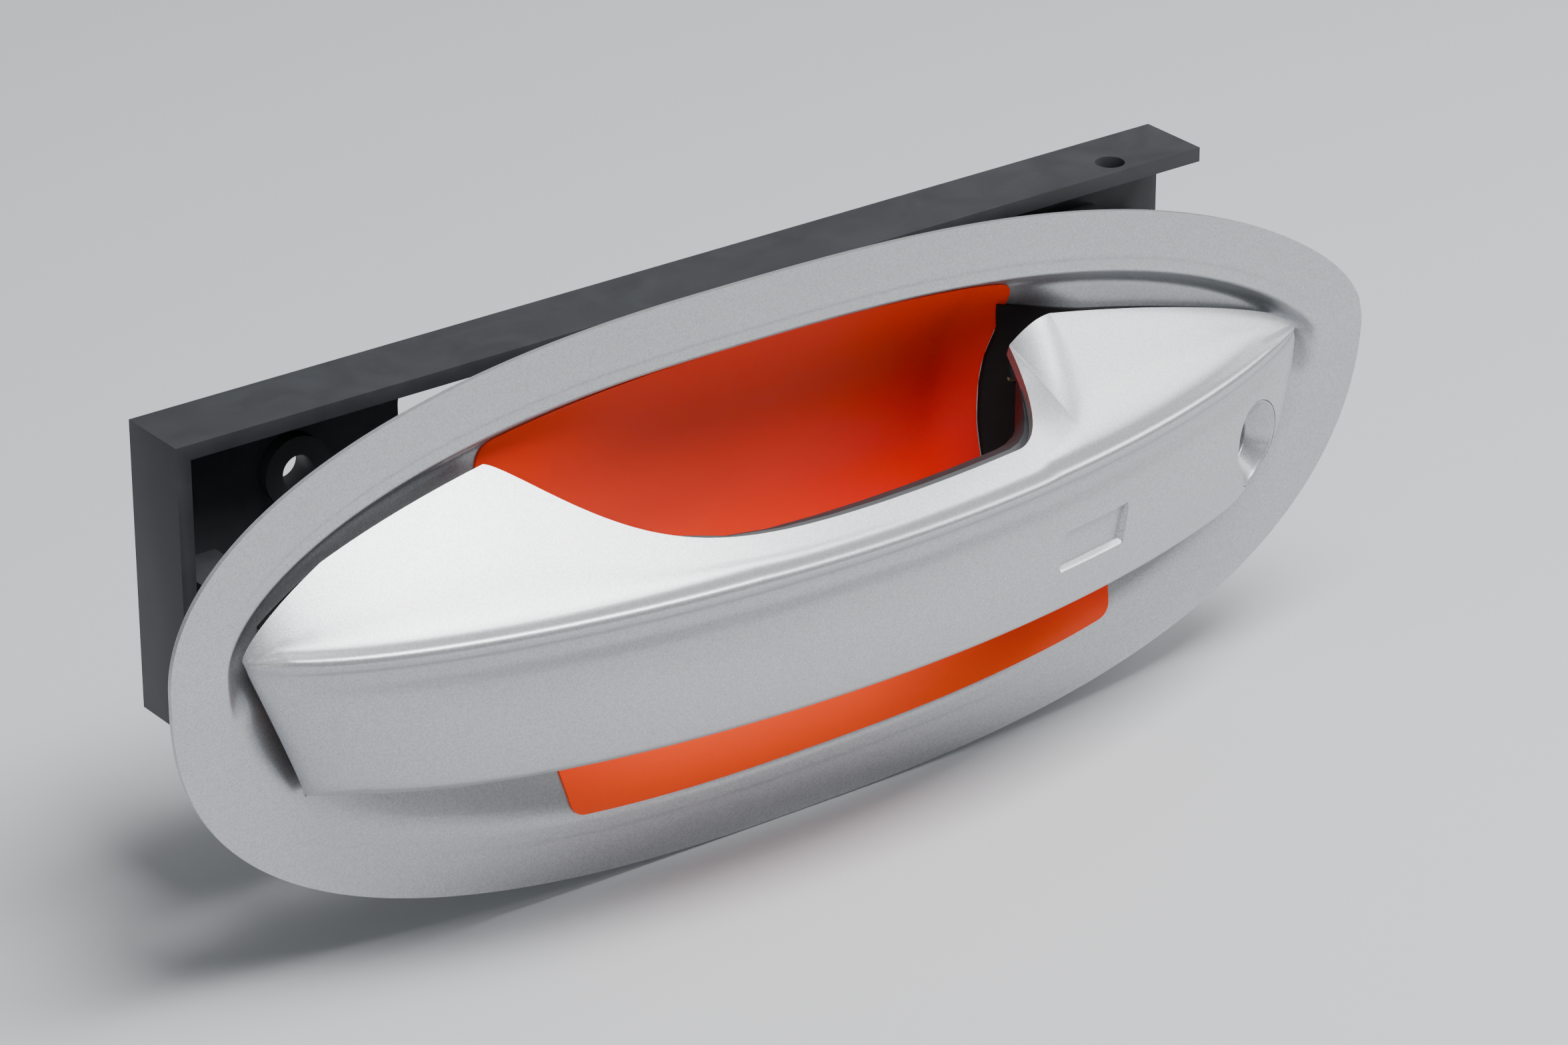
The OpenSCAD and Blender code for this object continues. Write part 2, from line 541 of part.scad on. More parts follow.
module grip_inner_shell() {
    color("dimgray") one_mesh() difference() {
        intersection() {
            grip_solid();
            behind_shell(shell_wall + shell_gap, 11, handle_len - 8, 39);
        }
        difference() {
            cavity();
            board_frame() for (s = [-1, 1]) post(s * 16, 0.3, board_t, 40);
            for (x = [antenna_at[0] - 18, antenna_at[0] + 18])
                translate([x - 2, antenna_y, antenna_z - antenna_d / 2 - 1.5])
                    cube([4, 15, antenna_d + 3]);
        }
        antenna_rod(0.02);
        through(-3, 10) rounded(front_pass, 1, 0.2);
        through(-3, 10) rounded(rear_pass, 1, 0.2);
        for (p = concat(front_screws, rear_screws)) {
            bolt_at(p, screw_d / 2 + screw_gap, -10, 10);
            bolt_at(p, head_d / 2 + screw_gap, base_sink - head_t, 10);
        }
        key_frame() translate([0, 0, 3]) cylinder(r = throat_d / 2 + funnel_wall + 0.5, h = 22);
    }
}
module key_funnel() {
    color("silver") key_frame() difference() {
        union() {
            translate([0, 0, 0.1]) cylinder(r = funnel_d / 2 - 0.05, h = 0.9);
            translate([0, 0, 1]) cylinder(r1 = funnel_d / 2 - 0.05, r2 = throat_d / 2 + funnel_wall - 0.05,
                h = funnel_deep);
            translate([0, 0, 8.9]) cylinder(r = throat_d / 2 + funnel_wall - 0.05, h = 3.2);
        }
        translate([0, 0, -0.1]) cylinder(r1 = funnel_d / 2 - 0.5, r2 = throat_d / 2, h = 8);
        cylinder(r = throat_d / 2, h = 20);
    }
}
module hinge_arm() {
    color("darkslategray") difference() {
        union() {
            upright([hinge_at, hinge_deep], lug_r, hinge_z - eye_half, hinge_z + eye_half);
            translate([hinge_at, 0, -14]) linear_extrude(10) polygon([[9, pad_y - 1], [19, pad_y - 1],
                [19, 6], [10, hinge_deep + lug_r], [0, hinge_deep + lug_r], [0, hinge_deep - lug_r],
                [5.5, hinge_deep - 4], [9, 5.5]]);
            through(pad_y - pad_t, pad_y) rounded(front_pad, 2);
        }
        upright([hinge_at, hinge_deep], pin_d / 2 + pin_play, hinge_z - 20, hinge_z + 20);
        for (p = front_screws) bolt_at(p, screw_d / 2, pad_y - pad_t, 10);
    }
}
hook_t = 3.2;
tip_r = 3;
hook_play = 0.3;
arm_z0 = 1;
arm_z1 = 9;
module pull_arm() {
    x0 = leg_x - 0.6;
    x1 = min(x0 + 6, hook_x - tip_r - 2.2);
    y1 = hook_deep + tip_r + hook_play;
    color("darkslategray") difference() {
        union() {
            bar(x0, x1, pad_y - pad_t, y1 + hook_t, arm_z0, arm_z1);
            bar(x0, hook_x + 2.2, y1, y1 + hook_t, arm_z0, arm_z1);
            through(pad_y - pad_t, pad_y) rounded(rear_pad, 1.5);
        }
        for (p = rear_screws) bolt_at(p, screw_d / 2, pad_y - pad_t - 1, 10);
    }
}
module shell_screws() {
    color("gray") for (p = concat(front_screws, rear_screws)) {
        bolt_at(p, screw_d / 2, pad_y - pad_t, base_sink - 0.1);
        bolt_at(p, head_d / 2, base_sink - head_t, base_sink - 0.1);
    }
}
module sensor_board() {
    color("darkgreen") board_frame() translate([-board_l / 2, 0, -board_h / 2])
        cube([board_l, board_t, board_h]);
}
module sensor_socket() {
    color("ivory") board_frame() translate([-5, board_t, -4]) difference() {
        cube([10, 4.5, 8]);
        translate([1, -1, 1]) cube([10, 4.5, 6]);
    }
}
module antenna_rod(grow) {
    translate([antenna_at[0] - antenna_l / 2, antenna_y, antenna_z]) rotate([0, 90, 0])
        cylinder(r = antenna_d / 2 + grow, h = antenna_l);
}
module ferrite_antenna() {
    color("saddlebrown") antenna_rod(0);
}
bumper_d = 7;
bumper_t = 1;
module rest_bumpers() {
    color("black") for (p = [[leg_x + 23.5, 5], [handle_len - 12, -2]])
        bolt_at(p, bumper_d / 2, base_sink, base_sink + bumper_t);
}

// ---------- release crank ----------
module arm_to(angle, length, w, z0, z1) {
    translate([crank_x, crank_deep, z0]) rotate([0, 0, angle]) translate([0, -w / 2, 0])
        cube([length, w, z1 - z0]);
}
module at_arm(angle, length) {
    translate([crank_x, crank_deep, 0]) rotate([0, 0, angle]) translate([length, 0, 0]) children();
}
weight_a = -35;
weight_r = 12.5;
neck_r = pin_d / 2 + 1.8;
module bell_crank() {
    color("dimgray") difference() {
        union() {
            upright([crank_x, crank_deep], hub_r, crank_lo + 0.2, 8);
            upright([crank_x, crank_deep], neck_r, 8, crank_hi - 0.2);
            arm_to(lever_a, lever_l, 3.2, 2.5, 7.5);
            at_arm(lever_a, lever_l) translate([0, 0, 1.5]) cylinder(r = tip_r, h = 7);
            arm_to(cable_a, cable_r, 6, 3, 7);
            at_arm(cable_a, cable_r) translate([0, 0, 3]) cylinder(r = nipple_d / 2 + 2, h = 4);
            arm_to(weight_a, weight_r, 4, 1, 2);
            at_arm(weight_a, weight_r) translate([0, 0, 1]) cylinder(r = 4, h = 1);
        }
        upright([crank_x, crank_deep], pin_d / 2 + pin_play, crank_lo - 5, crank_hi + 5);
        at_arm(cable_a, cable_r) cylinder(r = nipple_d / 2, h = 20);
    }
}
module counterweight() {
    color("slategray") at_arm(weight_a, weight_r) translate([0, 0, 2]) cylinder(r = 4, h = 9);
}
wire_d = 1.1;
coil_r = neck_r + 1.4;
coil_turns = 3.5;
coil_z = 8.7;
module sweep(path, r, sides) {
    m = len(path);
    function dir(i) = let (e = path[min(i + 1, m - 1)] - path[max(i - 1, 0)]) e / norm(e);
    rings = [for (i = [0 : m - 1]) let (t = dir(i), u0 = cross(t, abs(t[2]) > 0.7 ? [1, 0, 0] : [0, 0, 1]),
        u = u0 / norm(u0), v = cross(t, u))
        [for (k = [0 : sides - 1]) path[i] + r * (cos(360 * k / sides) * u + sin(360 * k / sides) * v)]];
    loft(rings);
}
module return_spring() {
    n = 14;
    rise = (crank_hi - 0.2 - coil_z - wire_d) / coil_turns;
    coil = [for (i = [0 : n * coil_turns]) let (a = 160 + 360 * i / n)
        [crank_x + coil_r * cos(a), crank_deep + coil_r * sin(a), coil_z + wire_d / 2 + rise * i / n]];
    lead = [coil[0] + [-0.5, -9, 0]];
    last = coil[len(coil) - 1];
    tail = [last + [3, 9, 0]];
    color("silver") sweep(concat(lead, coil, tail), wire_d / 2, 8);
}
module cable_anchor() {
    color("ivory") translate([anchor_x, nipple[1], cable_z]) rotate([0, 90, 0]) difference() {
        union() {
            translate([0, 0, -5]) cylinder(r = anchor_d / 2, h = 11);
            for (z = [post_half, -post_half - 1.5]) translate([0, 0, z])
                cylinder(r = anchor_d / 2 + 0.8, h = 1.5);
        }
        translate([0, 0, -2]) cylinder(r = sheath_d / 2, h = 20);
        translate([0, 0, -20]) cylinder(r = 1.2, h = 30);
    }
}

// ---------- key cylinder ----------
plug_over = 6;
lever_t = 2.6;
rod_d = 4;
module lock_housing() {
    color("gray") key_frame() difference() {
        translate([0, 0, housing_z]) cylinder(r = housing_d / 2, h = housing_l);
        cylinder(r = plug_d / 2 + pin_play, h = 80);
        translate([0, 0, seat_z + seat_l / 2]) rotate([-90, 0, 0]) cylinder(r = lock_screw_d / 2, h = 30);
    }
}
module lock_screw() {
    color("gold") key_frame() translate([0, plug_d / 2 + 1.2, seat_z + seat_l / 2]) rotate([-90, 0, 0])
        difference() {
            cylinder(r = lock_screw_d / 2, h = carrier_half - key_drop - plug_d / 2 - 1.7);
            translate([0, 0, 3]) cylinder(d = 2.3, h = 10, $fn = 6);
        }
}
module lock_plug() {
    end = housing_z + housing_l;
    color("goldenrod") key_frame() difference() {
        union() {
            translate([0, 0, housing_z + 0.5]) cylinder(r = plug_d / 2, h = housing_l - 0.5);
            translate([0, 0, end]) cylinder(r = plug_d / 2 - 2, h = plug_over);
        }
        translate([-4.4, -0.9, housing_z]) cube([8.8, 1.8, 14]);
    }
}
module tail_lever() {
    z = housing_z + housing_l + 0.4;
    color("silver") key_frame() translate([0, 0, z]) difference() {
        union() {
            cylinder(r = plug_d / 2 + 0.6, h = lever_t);
            translate([-3, -tail_l, 0]) cube([6, tail_l, lever_t]);
            translate([0, -tail_l, 0]) cylinder(r = rod_d / 2 + 2, h = lever_t);
        }
        translate([0, 0, -1]) cylinder(r = plug_d / 2 - 2, h = 9);
        translate([0, -tail_l, -1]) cylinder(r = rod_d / 2, h = 9);
    }
}
module lever_clip() {
    z = housing_z + housing_l + 0.4 + lever_t;
    color("dimgray") key_frame() translate([0, 0, z]) difference() {
        cylinder(r = plug_d / 2 - 0.2, h = clip_t);
        translate([0, 0, -1]) cylinder(r = plug_d / 2 - 2, h = 3);
        translate([0, -1, -1]) cube([9, 2, 3]);
    }
}

module to_mount() {
    translate([-half_len, -mount_deep, 0]) children();
}
to_mount() recess_dish();
to_mount() upper_film();
to_mount() lower_film();
to_mount() front_gasket();
to_mount() rear_gasket();
to_mount() carrier();
to_mount() carrier_screws();
to_mount() hinge_pin();
to_mount() crank_pin();
to_mount() pin_clips();
to_mount() grip_outer_shell();
to_mount() grip_inner_shell();
to_mount() key_funnel();
to_mount() hinge_arm();
to_mount() pull_arm();
to_mount() shell_screws();
to_mount() sensor_board();
to_mount() ferrite_antenna();
to_mount() sensor_socket();
to_mount() rest_bumpers();
to_mount() bell_crank();
to_mount() counterweight();
to_mount() return_spring();
to_mount() cable_anchor();
to_mount() lock_housing();
to_mount() lock_screw();
to_mount() lock_plug();
to_mount() tail_lever();
to_mount() lever_clip();
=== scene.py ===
import math

import bpy
import numpy as np
from mathutils import Matrix, Vector


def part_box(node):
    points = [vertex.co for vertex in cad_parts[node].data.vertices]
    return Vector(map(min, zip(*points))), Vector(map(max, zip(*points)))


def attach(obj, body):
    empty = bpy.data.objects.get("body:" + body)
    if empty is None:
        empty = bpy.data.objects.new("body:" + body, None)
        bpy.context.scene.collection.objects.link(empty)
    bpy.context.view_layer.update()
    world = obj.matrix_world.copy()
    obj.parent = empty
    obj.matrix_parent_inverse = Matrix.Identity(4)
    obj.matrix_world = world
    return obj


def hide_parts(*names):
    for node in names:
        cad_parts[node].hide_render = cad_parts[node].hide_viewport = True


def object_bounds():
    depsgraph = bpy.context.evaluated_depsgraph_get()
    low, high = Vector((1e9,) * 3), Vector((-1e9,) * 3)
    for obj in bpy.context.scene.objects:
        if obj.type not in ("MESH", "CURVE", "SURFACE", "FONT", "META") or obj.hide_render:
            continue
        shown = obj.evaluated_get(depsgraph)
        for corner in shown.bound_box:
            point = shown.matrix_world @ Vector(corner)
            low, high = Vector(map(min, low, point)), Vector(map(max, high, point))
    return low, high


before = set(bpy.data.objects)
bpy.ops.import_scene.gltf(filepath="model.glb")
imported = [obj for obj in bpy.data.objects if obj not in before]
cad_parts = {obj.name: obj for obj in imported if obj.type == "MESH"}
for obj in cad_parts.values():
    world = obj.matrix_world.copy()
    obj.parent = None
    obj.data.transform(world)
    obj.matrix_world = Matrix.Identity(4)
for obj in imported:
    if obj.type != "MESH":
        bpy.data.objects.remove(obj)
cad_low, cad_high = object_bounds()
grip_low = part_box("grip_outer_shell")[0]
dish_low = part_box("recess_dish")[0]

# ---------------------------------------------------------------- studio
# The handle stands on the edge of its recess on a pale seamless floor, lit by one
# broad overhead softbox, a weaker panel on each side and a pale surround.

# A long lens from the front left and above, aimed at the middle of the grip.
aim = Vector((grip_low.x + 0.1110, dish_low.y - 0.0100, -0.0003))
looking = Vector((0.543, 0.721, -0.430)).normalized()
bpy.ops.object.camera_add(location=aim - looking * 1.084)
camera = bpy.context.object
camera.name = "camera"
camera.rotation_euler = looking.to_track_quat("-Z", "Y").to_euler()
camera.data.lens = 135
camera.data.sensor_width = 36
bpy.context.scene.camera = camera


def tone(code):
    """sRGB hex colour to the linear colour that a shader socket takes."""
    parts = [int(code[i:i + 2], 16) / 255 for i in (1, 3, 5)]
    return [p / 12.92 if p <= 0.04045 else ((p + 0.055) / 1.055) ** 2.4 for p in parts] + [1]


def add(tree, kind, settings, sockets):
    """One shader node: its settings by name, its sockets by name or number, linked or given a value."""
    made = tree.nodes.new("ShaderNode" + kind)
    for name, value in settings.items():
        setattr(made, name, value)
    for name, value in sockets.items():
        if isinstance(value, bpy.types.NodeSocket):
            tree.links.new(value, made.inputs[name])
        else:
            made.inputs[name].default_value = value
    return made


def blank(name):
    """An empty material with its output node."""
    material = bpy.data.materials.new(name)
    material.use_nodes = True
    material.node_tree.nodes.clear()
    return material, material.node_tree


def deselect():
    if bpy.context.object and bpy.context.object.mode != "OBJECT":
        bpy.ops.object.mode_set(mode="OBJECT")
    bpy.ops.object.select_all(action="DESELECT")


# Seamless paper: floor and wall in one curved sweep, matt off-white.
deselect()
bpy.ops.mesh.primitive_grid_add(x_subdivisions=2, y_subdivisions=48, size=1)
sweep = bpy.context.object
sweep.name = "paper_sweep"
floor_z = cad_low.z - 0.0002
for v in sweep.data.vertices:
    s = (v.co.y + 0.5) * 4.6
    bend = 0.7
    if s < 2.6:
        y, z = s - 1.9, 0.0
    elif s < 2.6 + bend * math.pi / 2:
        a = (s - 2.6) / bend
        y, z = 0.7 + bend * math.sin(a), bend * (1 - math.cos(a))
    else:
        y, z = 0.7 + bend, bend + (s - 2.6 - bend * math.pi / 2)
    v.co = (v.co.x * 5, y, z + floor_z)
bpy.ops.object.shade_smooth()
paper, tree = blank("paper_matt_uncoated")
where = add(tree, "TexCoord", {}, {})
fibre = add(tree, "TexNoise", {}, {"Vector": where.outputs["Object"], "Scale": 900.0, "Detail": 3.0})
bump = add(tree, "Bump", {}, {"Height": fibre.outputs["Fac"], "Strength": 0.05, "Distance": 0.0002})
surface = add(tree, "BsdfPrincipled", {}, {"Base Color": tone("#C4C6C9"), "Roughness": 0.85,
    "Normal": bump.outputs["Normal"]})
add(tree, "OutputMaterial", {}, {"Surface": surface.outputs["BSDF"]})
sweep.data.materials.append(paper)

for name, at, size, power in (
        ("overhead_softbox", (0.10, -0.50, 1.10), (0.9, 0.5), 26.0),
        ("right_panel", (1.05, -0.35, 0.75), (0.8, 0.5), 9.0),
        ("left_panel", (-1.15, -0.60, 0.30), (0.5, 0.7), 1.6)):
    bpy.ops.object.light_add(type="AREA", location=at)
    lamp = bpy.context.object
    lamp.name = name
    lamp.data.shape = "RECTANGLE"
    lamp.data.size, lamp.data.size_y = size
    lamp.data.energy = power
    lamp.rotation_euler = (Vector((0, -0.05, -0.01)) - Vector(at)).to_track_quat("-Z", "Y").to_euler()

world = bpy.data.worlds.new("pale_surround")
bpy.context.scene.world = world
world.use_nodes = True
tree = world.node_tree
tree.nodes.clear()
where = add(tree, "TexCoord", {}, {})
height = add(tree, "SeparateXYZ", {}, {"Vector": where.outputs["Generated"]})
ramp = add(tree, "ValToRGB", {}, {"Fac": height.outputs["Z"]})
ramp.color_ramp.elements[0].position = 0.0
ramp.color_ramp.elements[0].color = tone("#54575B")
ramp.color_ramp.elements[1].position = 0.85
ramp.color_ramp.elements[1].color = tone("#F4F7FB")
sky = add(tree, "Background", {}, {"Color": ramp.outputs["Color"], "Strength": 0.34})
add(tree, "OutputWorld", {}, {"Surface": sky.outputs["Background"]})

# ---------------------------------------------------------------- recess dish
# Pressed steel skin with an almond-shaped recess: a shallow ledge carries the grip's
# pods and a deeper pocket leaves room for the fingers. Painted with the car body.
MM = 0.001
origin = np.array([grip_low.x, dish_low.y, 0.0])    # front tip, door skin, ridge level
handle_len = (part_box("carrier")[1].x - grip_low.x) / MM
front_pod, rear_pod = 53.0, 61.0
leg_x = handle_len - rear_pod
hinge_x = 16.0
crease_z, ledge, pocket, sheet_t = -2.0, 4.6, 19.0, 1.0
dish_long, dish_lead, dish_up, dish_down, flange = 254.0, 3.0, 32.5, 57.4, 12.0
dish_mid = dish_long / 2 - dish_lead


def step(t):
    c = np.clip(t, 0, 1)
    return c * c * (3 - 2 * c)


def almond(x, centre, nose_p, nose_q, tail_p, tail_q):
    c = centre * dish_long - dish_lead
    a = np.where(x < c, c + dish_lead, dish_long - dish_lead - c)
    q = np.minimum(1, np.abs(x - c) / a)
    return np.where(x < c, np.maximum(0, 1 - q ** nose_p) ** nose_q,
        np.maximum(0, 1 - q ** tail_p) ** tail_q)


def rim_up(x):
    return crease_z + dish_up * almond(np.asarray(x, float), 0.425, 2.4, 0.55, 2.8, 0.75)


def rim_down(x):
    return crease_z - dish_down * almond(np.asarray(x, float), 0.484, 2.2, 0.4, 2.8, 0.43)


def skin_y(z):
    v = z - crease_z
    s = np.sqrt(v * v + 9) - 3
    return 0.105 * (v + s) / 2 + 0.07 * (s - v) / 2


def dish_rings(lift, outside):
    """Points of the recess's painted face raised by lift, ring by ring from its spine to its rim."""
    count = 180
    j = np.arange(2 * count + 1)
    i = np.where(j <= count, j, 2 * count - j)
    x = dish_long * (1 - np.cos(np.pi * i / count)) / 2 - dish_lead
    rim = np.stack([x, np.where(j <= count, rim_up(x), rim_down(x))], 1)
    u = (x - dish_mid) / (dish_long / 2)
    spine = np.stack([dish_mid + 0.82 * (x - dish_mid), crease_z - 10 * (1 - u * u)], 1)
    ray = np.linalg.norm(rim - spine, axis=1)
    near = np.minimum(1, ray / 9)
    gaps = np.concatenate([np.linspace(1, 0, 44)[:-1, None] ** 0.8 * (ray - 4.4 * near)[None] + 4.4 * near,
        np.linspace(4.4, 0, 23)[:, None] * near[None]])
    r = 1 - gaps / ray
    low = step((crease_z + 4 - rim[:, 1]) / 16)
    px = spine[:, 0] + r * (rim - spine)[:, 0]
    pz = spine[:, 1] + r * (rim - spine)[:, 1]
    steep = 1 - (1 - np.minimum(1, gaps / 3.8)) ** 2.2
    deep = pocket * step((px - front_pod + 15) / 85) * step((leg_x + 12 - px) / 26)
    y = skin_y(pz) + ledge * ((1 - low) * steep + low * step(gaps / 15)) \
        + deep * ((1 - low) * (1 - r * r) + low * (1 - np.clip(r, 0, 1) ** 1.8) ** 1.4)
    if outside:
        ahead = np.roll(rim[:-1], -1, 0)
        behind = np.roll(rim[:-1], 1, 0)
        out = ahead - behind
        out = np.stack([-out[:, 1], out[:, 0]], 1) / np.linalg.norm(out, axis=1)[:, None]
        out = np.concatenate([out, out[:1]])
        away = np.concatenate([np.linspace(0.2, 3, 15), np.linspace(3.6, flange, 10)])[:, None]
        px = np.concatenate([px, rim[:, 0] + out[:, 0] * away])
        pz = np.concatenate([pz, rim[:, 1] + out[:, 1] * away])
        y = np.concatenate([y, skin_y(pz[len(y):])])
        for _ in range(9):      # the press rolls the rim over a soft edge
            y[45:-8] = (y[44:-9] + 2 * y[45:-8] + y[46:-7]) / 4
    return np.stack([px, y - lift, pz], 2)


def from_grid(name, points, wrap):
    """A primitive grid whose points are moved onto a surface, in mm from the front tip."""
    rows, columns = points.shape[:2]
    deselect()
    bpy.ops.mesh.primitive_grid_add(x_subdivisions=columns - 1, y_subdivisions=rows - 1, size=1)
    piece = bpy.context.object
    piece.name = piece.data.name = name
    piece.data.vertices.foreach_set("co", (points.reshape(-1, 3) * MM + origin).ravel())
    piece.data.update()
    bpy.ops.object.mode_set(mode="EDIT")
    bpy.ops.mesh.select_all(action="SELECT")
    if wrap:
        bpy.ops.mesh.remove_doubles(threshold=2e-6)
    bpy.ops.mesh.normals_make_consistent(inside=False)
    bpy.ops.object.mode_set(mode="OBJECT")
    return piece


def use(piece, kind, **settings):
    """Adds a modifier to a piece and applies it."""
    deselect()
    piece.select_set(True)
    bpy.context.view_layer.objects.active = piece
    made = piece.modifiers.new(kind.lower(), kind)
    for name, value in settings.items():
        setattr(made, name, value)
    bpy.ops.object.modifier_apply(modifier=made.name)


def combine(piece, other, how):
    """Cuts, joins or clips a piece with another, which is used up."""
    use(piece, "BOOLEAN", operation=how, object=other, solver="EXACT")
    bpy.data.objects.remove(other)


def smooth(piece, angle):
    deselect()
    piece.select_set(True)
    bpy.context.view_layer.objects.active = piece
    bpy.ops.object.shade_smooth_by_angle(angle=math.radians(angle))


def prism(corners, y0, y1, radius):
    """A plate with rounded corners: its outline in X and Z, from depth y0 to y1."""
    deselect()
    bpy.ops.mesh.primitive_circle_add(vertices=len(corners), radius=1, fill_type="NGON")
    tool = bpy.context.object
    for v, (x, z) in zip(tool.data.vertices, corners):
        v.co = Vector((x * MM, y0 * MM, z * MM)) + Vector(origin)
    bpy.ops.object.mode_set(mode="EDIT")
    bpy.ops.mesh.select_all(action="SELECT")
    if radius:
        bpy.ops.mesh.bevel(affect="VERTICES", offset=radius * MM, segments=8)
    bpy.ops.mesh.select_all(action="SELECT")
    bpy.ops.mesh.extrude_region_move(TRANSFORM_OT_translate={"value": (0, (y1 - y0) * MM, 0)})
    bpy.ops.mesh.select_all(action="SELECT")
    bpy.ops.mesh.normals_make_consistent(inside=False)
    bpy.ops.object.mode_set(mode="OBJECT")
    return tool


def rod(middle, radius, y0, y1, sides=64):
    """A cylinder through the door, at X and Z."""
    deselect()
    at = Vector((middle[0] * MM, (y0 + y1) / 2 * MM, middle[1] * MM)) + Vector(origin)
    bpy.ops.mesh.primitive_cylinder_add(vertices=sides, radius=radius * MM, depth=(y1 - y0) * MM,
        location=at, rotation=(math.pi / 2, 0, 0))
    bpy.ops.object.transform_apply(location=True, rotation=True, scale=True)
    return bpy.context.object


def box_outline(x0, z0, x1, z1):
    return [(x0, z0), (x1, z0), (x1, z1), (x0, z1)]


def closed_sheet(name, lift, thick, outside):
    """The recess's surface with a wall behind it."""
    face = dish_rings(lift, outside)
    back = face + np.array([0, thick, 0])
    piece = from_grid(name, np.concatenate([face, back[::-1]]), wrap=True)
    return piece


hinge_hole = box_outline(hinge_x - 5.5, -19.5, hinge_x + 20, 1.5)
pull_hole = box_outline(leg_x - 3, -13, leg_x + 19, 12)
front_seat, rear_seat = (46.0, -8.0), (handle_len - 6.5, -5.0)
key_turn = math.radians(24)
peak = 0.482 * handle_len


def bow(x):
    """How far the ridge stands out from the door skin."""
    x = np.asarray(x, float)
    q = np.minimum(1, np.abs(x - peak) / np.where(x < peak, peak, handle_len - peak))
    return 30.6 * np.maximum(0, 1 - q * q) ** np.where(x < peak, 0.66, 0.85)


key_x = handle_len - 17.8
key_at = Vector((key_x * MM, -float(bow(key_x)) * MM, -16.5 * MM)) + Vector(origin)
key_frame = Matrix.Translation(key_at) @ Matrix.Rotation(key_turn, 4, "Z") \
    @ Matrix.Rotation(-math.pi / 2, 4, "X")


def key_rod(radius, z0, z1, sides=96):
    """A cylinder on the key's axis."""
    deselect()
    bpy.ops.mesh.primitive_cylinder_add(vertices=sides, radius=radius * MM, depth=(z1 - z0) * MM,
        location=(0, 0, (z0 + z1) / 2 * MM))
    tool = bpy.context.object
    bpy.ops.object.transform_apply(location=True, rotation=True, scale=True)
    tool.data.transform(key_frame)
    return tool


dish = closed_sheet("recess_dish_pressing", 0, sheet_t, outside=True)
for seat, radius in ((front_seat, 6.5), (rear_seat, 4.5)):
    combine(dish, rod(seat, radius, 5.2, 14), "UNION")
    combine(dish, rod(seat, radius - sheet_t, 0, 13), "DIFFERENCE")
    combine(dish, rod(seat, radius / 2.2, 0, 20), "DIFFERENCE")
combine(dish, prism(hinge_hole, -10, 40, 4), "DIFFERENCE")
combine(dish, prism(pull_hole, -10, 40, 5), "DIFFERENCE")
combine(dish, key_rod(10.2, 6, 30), "DIFFERENCE")
smooth(dish, 32)
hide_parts("recess_dish")
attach(dish, "door_side")

# Silver base coat with aluminium flakes under clear lacquer: soft reflections with a fine
# sparkle. Real flakes are 0.02 mm, drawn ten times coarser so that they show.
silver, tree = blank("metallic_silver_paint_sprayed")
where = add(tree, "TexCoord", {}, {})
flake = add(tree, "TexVoronoi", {"feature": "F1"}, {"Vector": where.outputs["Object"], "Scale": 4200.0})
drift = add(tree, "TexNoise", {}, {"Vector": where.outputs["Object"], "Scale": 35.0, "Detail": 2.0})
lit = add(tree, "Mix", {"data_type": "RGBA"}, {0: flake.outputs["Color"], 6: tone("#A9ABAE"),
    7: tone("#C6C8CB")})
peel = add(tree, "TexNoise", {}, {"Vector": where.outputs["Object"], "Scale": 420.0, "Detail": 1.0})
wave = add(tree, "Bump", {}, {"Height": peel.outputs["Fac"], "Strength": 0.12, "Distance": 0.00003})
grain = add(tree, "Bump", {}, {"Height": flake.outputs["Distance"], "Strength": 0.16, "Distance": 0.00006,
    "Normal": wave.outputs["Normal"]})
rough = add(tree, "MapRange", {}, {"Value": drift.outputs["Fac"], "To Min": 0.33, "To Max": 0.39})
surface = add(tree, "BsdfPrincipled", {}, {"Base Color": lit.outputs[2], "Metallic": 0.7,
    "Roughness": rough.outputs[0], "Coat Weight": 0.35, "Coat Roughness": 0.1, "Coat IOR": 1.5,
    "Normal": grain.outputs["Normal"], "Coat Normal": wave.outputs["Normal"]})
add(tree, "OutputMaterial", {}, {"Surface": surface.outputs["BSDF"]})
dish.data.materials.append(silver)

# ---------------------------------------------------------------- protective films
# Two cut pieces of orange polyurethane film laid over the recess, one behind the
# fingers and one as a strip along the lower rim. Pressed on by hand with a squeegee.
film_t = 0.4
film_edge = [(leg_x - 4.4, 12), (leg_x - 5.2, 6), (leg_x - 5.4, 0), (leg_x - 5, -8), (leg_x - 4, -20)]


def soften(points, reach):
    """The closed outline resampled every 0.5 mm, its corners rounded over the given reach."""
    p = np.array(list(points) + list(points[:1]), float)
    run = np.concatenate([[0], np.cumsum(np.linalg.norm(np.diff(p, axis=0), axis=1))])
    n = int(run[-1] / 0.5)
    even = np.stack([np.interp(np.arange(n) * run[-1] / n, run, p[:, k]) for k in (0, 1)], 1)
    k = int(reach / 0.5)
    return [tuple(q) for q in sum(np.roll(even, s, 0) for s in range(-k, k + 1)) / (2 * k + 1)]


upper = closed_sheet("upper_film_sheet", film_t, film_t, outside=False)
top = [(x, float(rim_up(x)) - 3.2) for x in np.linspace(55, leg_x - 3.6, 41)]
outline = top + film_edge + [(130, -32), (80, -20), (52, 8)]
combine(upper, prism(soften(outline, 3.5)[::-1], -10, 40, 0), "INTERSECT")
lower = closed_sheet("lower_film_strip", film_t, film_t, outside=False)
outline = [(x, float(rim_down(x)) + 1.4) for x in np.linspace(72, 201, 41)] \
    + [(x, float(rim_down(x)) + 14) for x in np.linspace(203, 71, 21)]
combine(lower, prism(soften(outline, 2.5), -10, 40, 0), "INTERSECT")

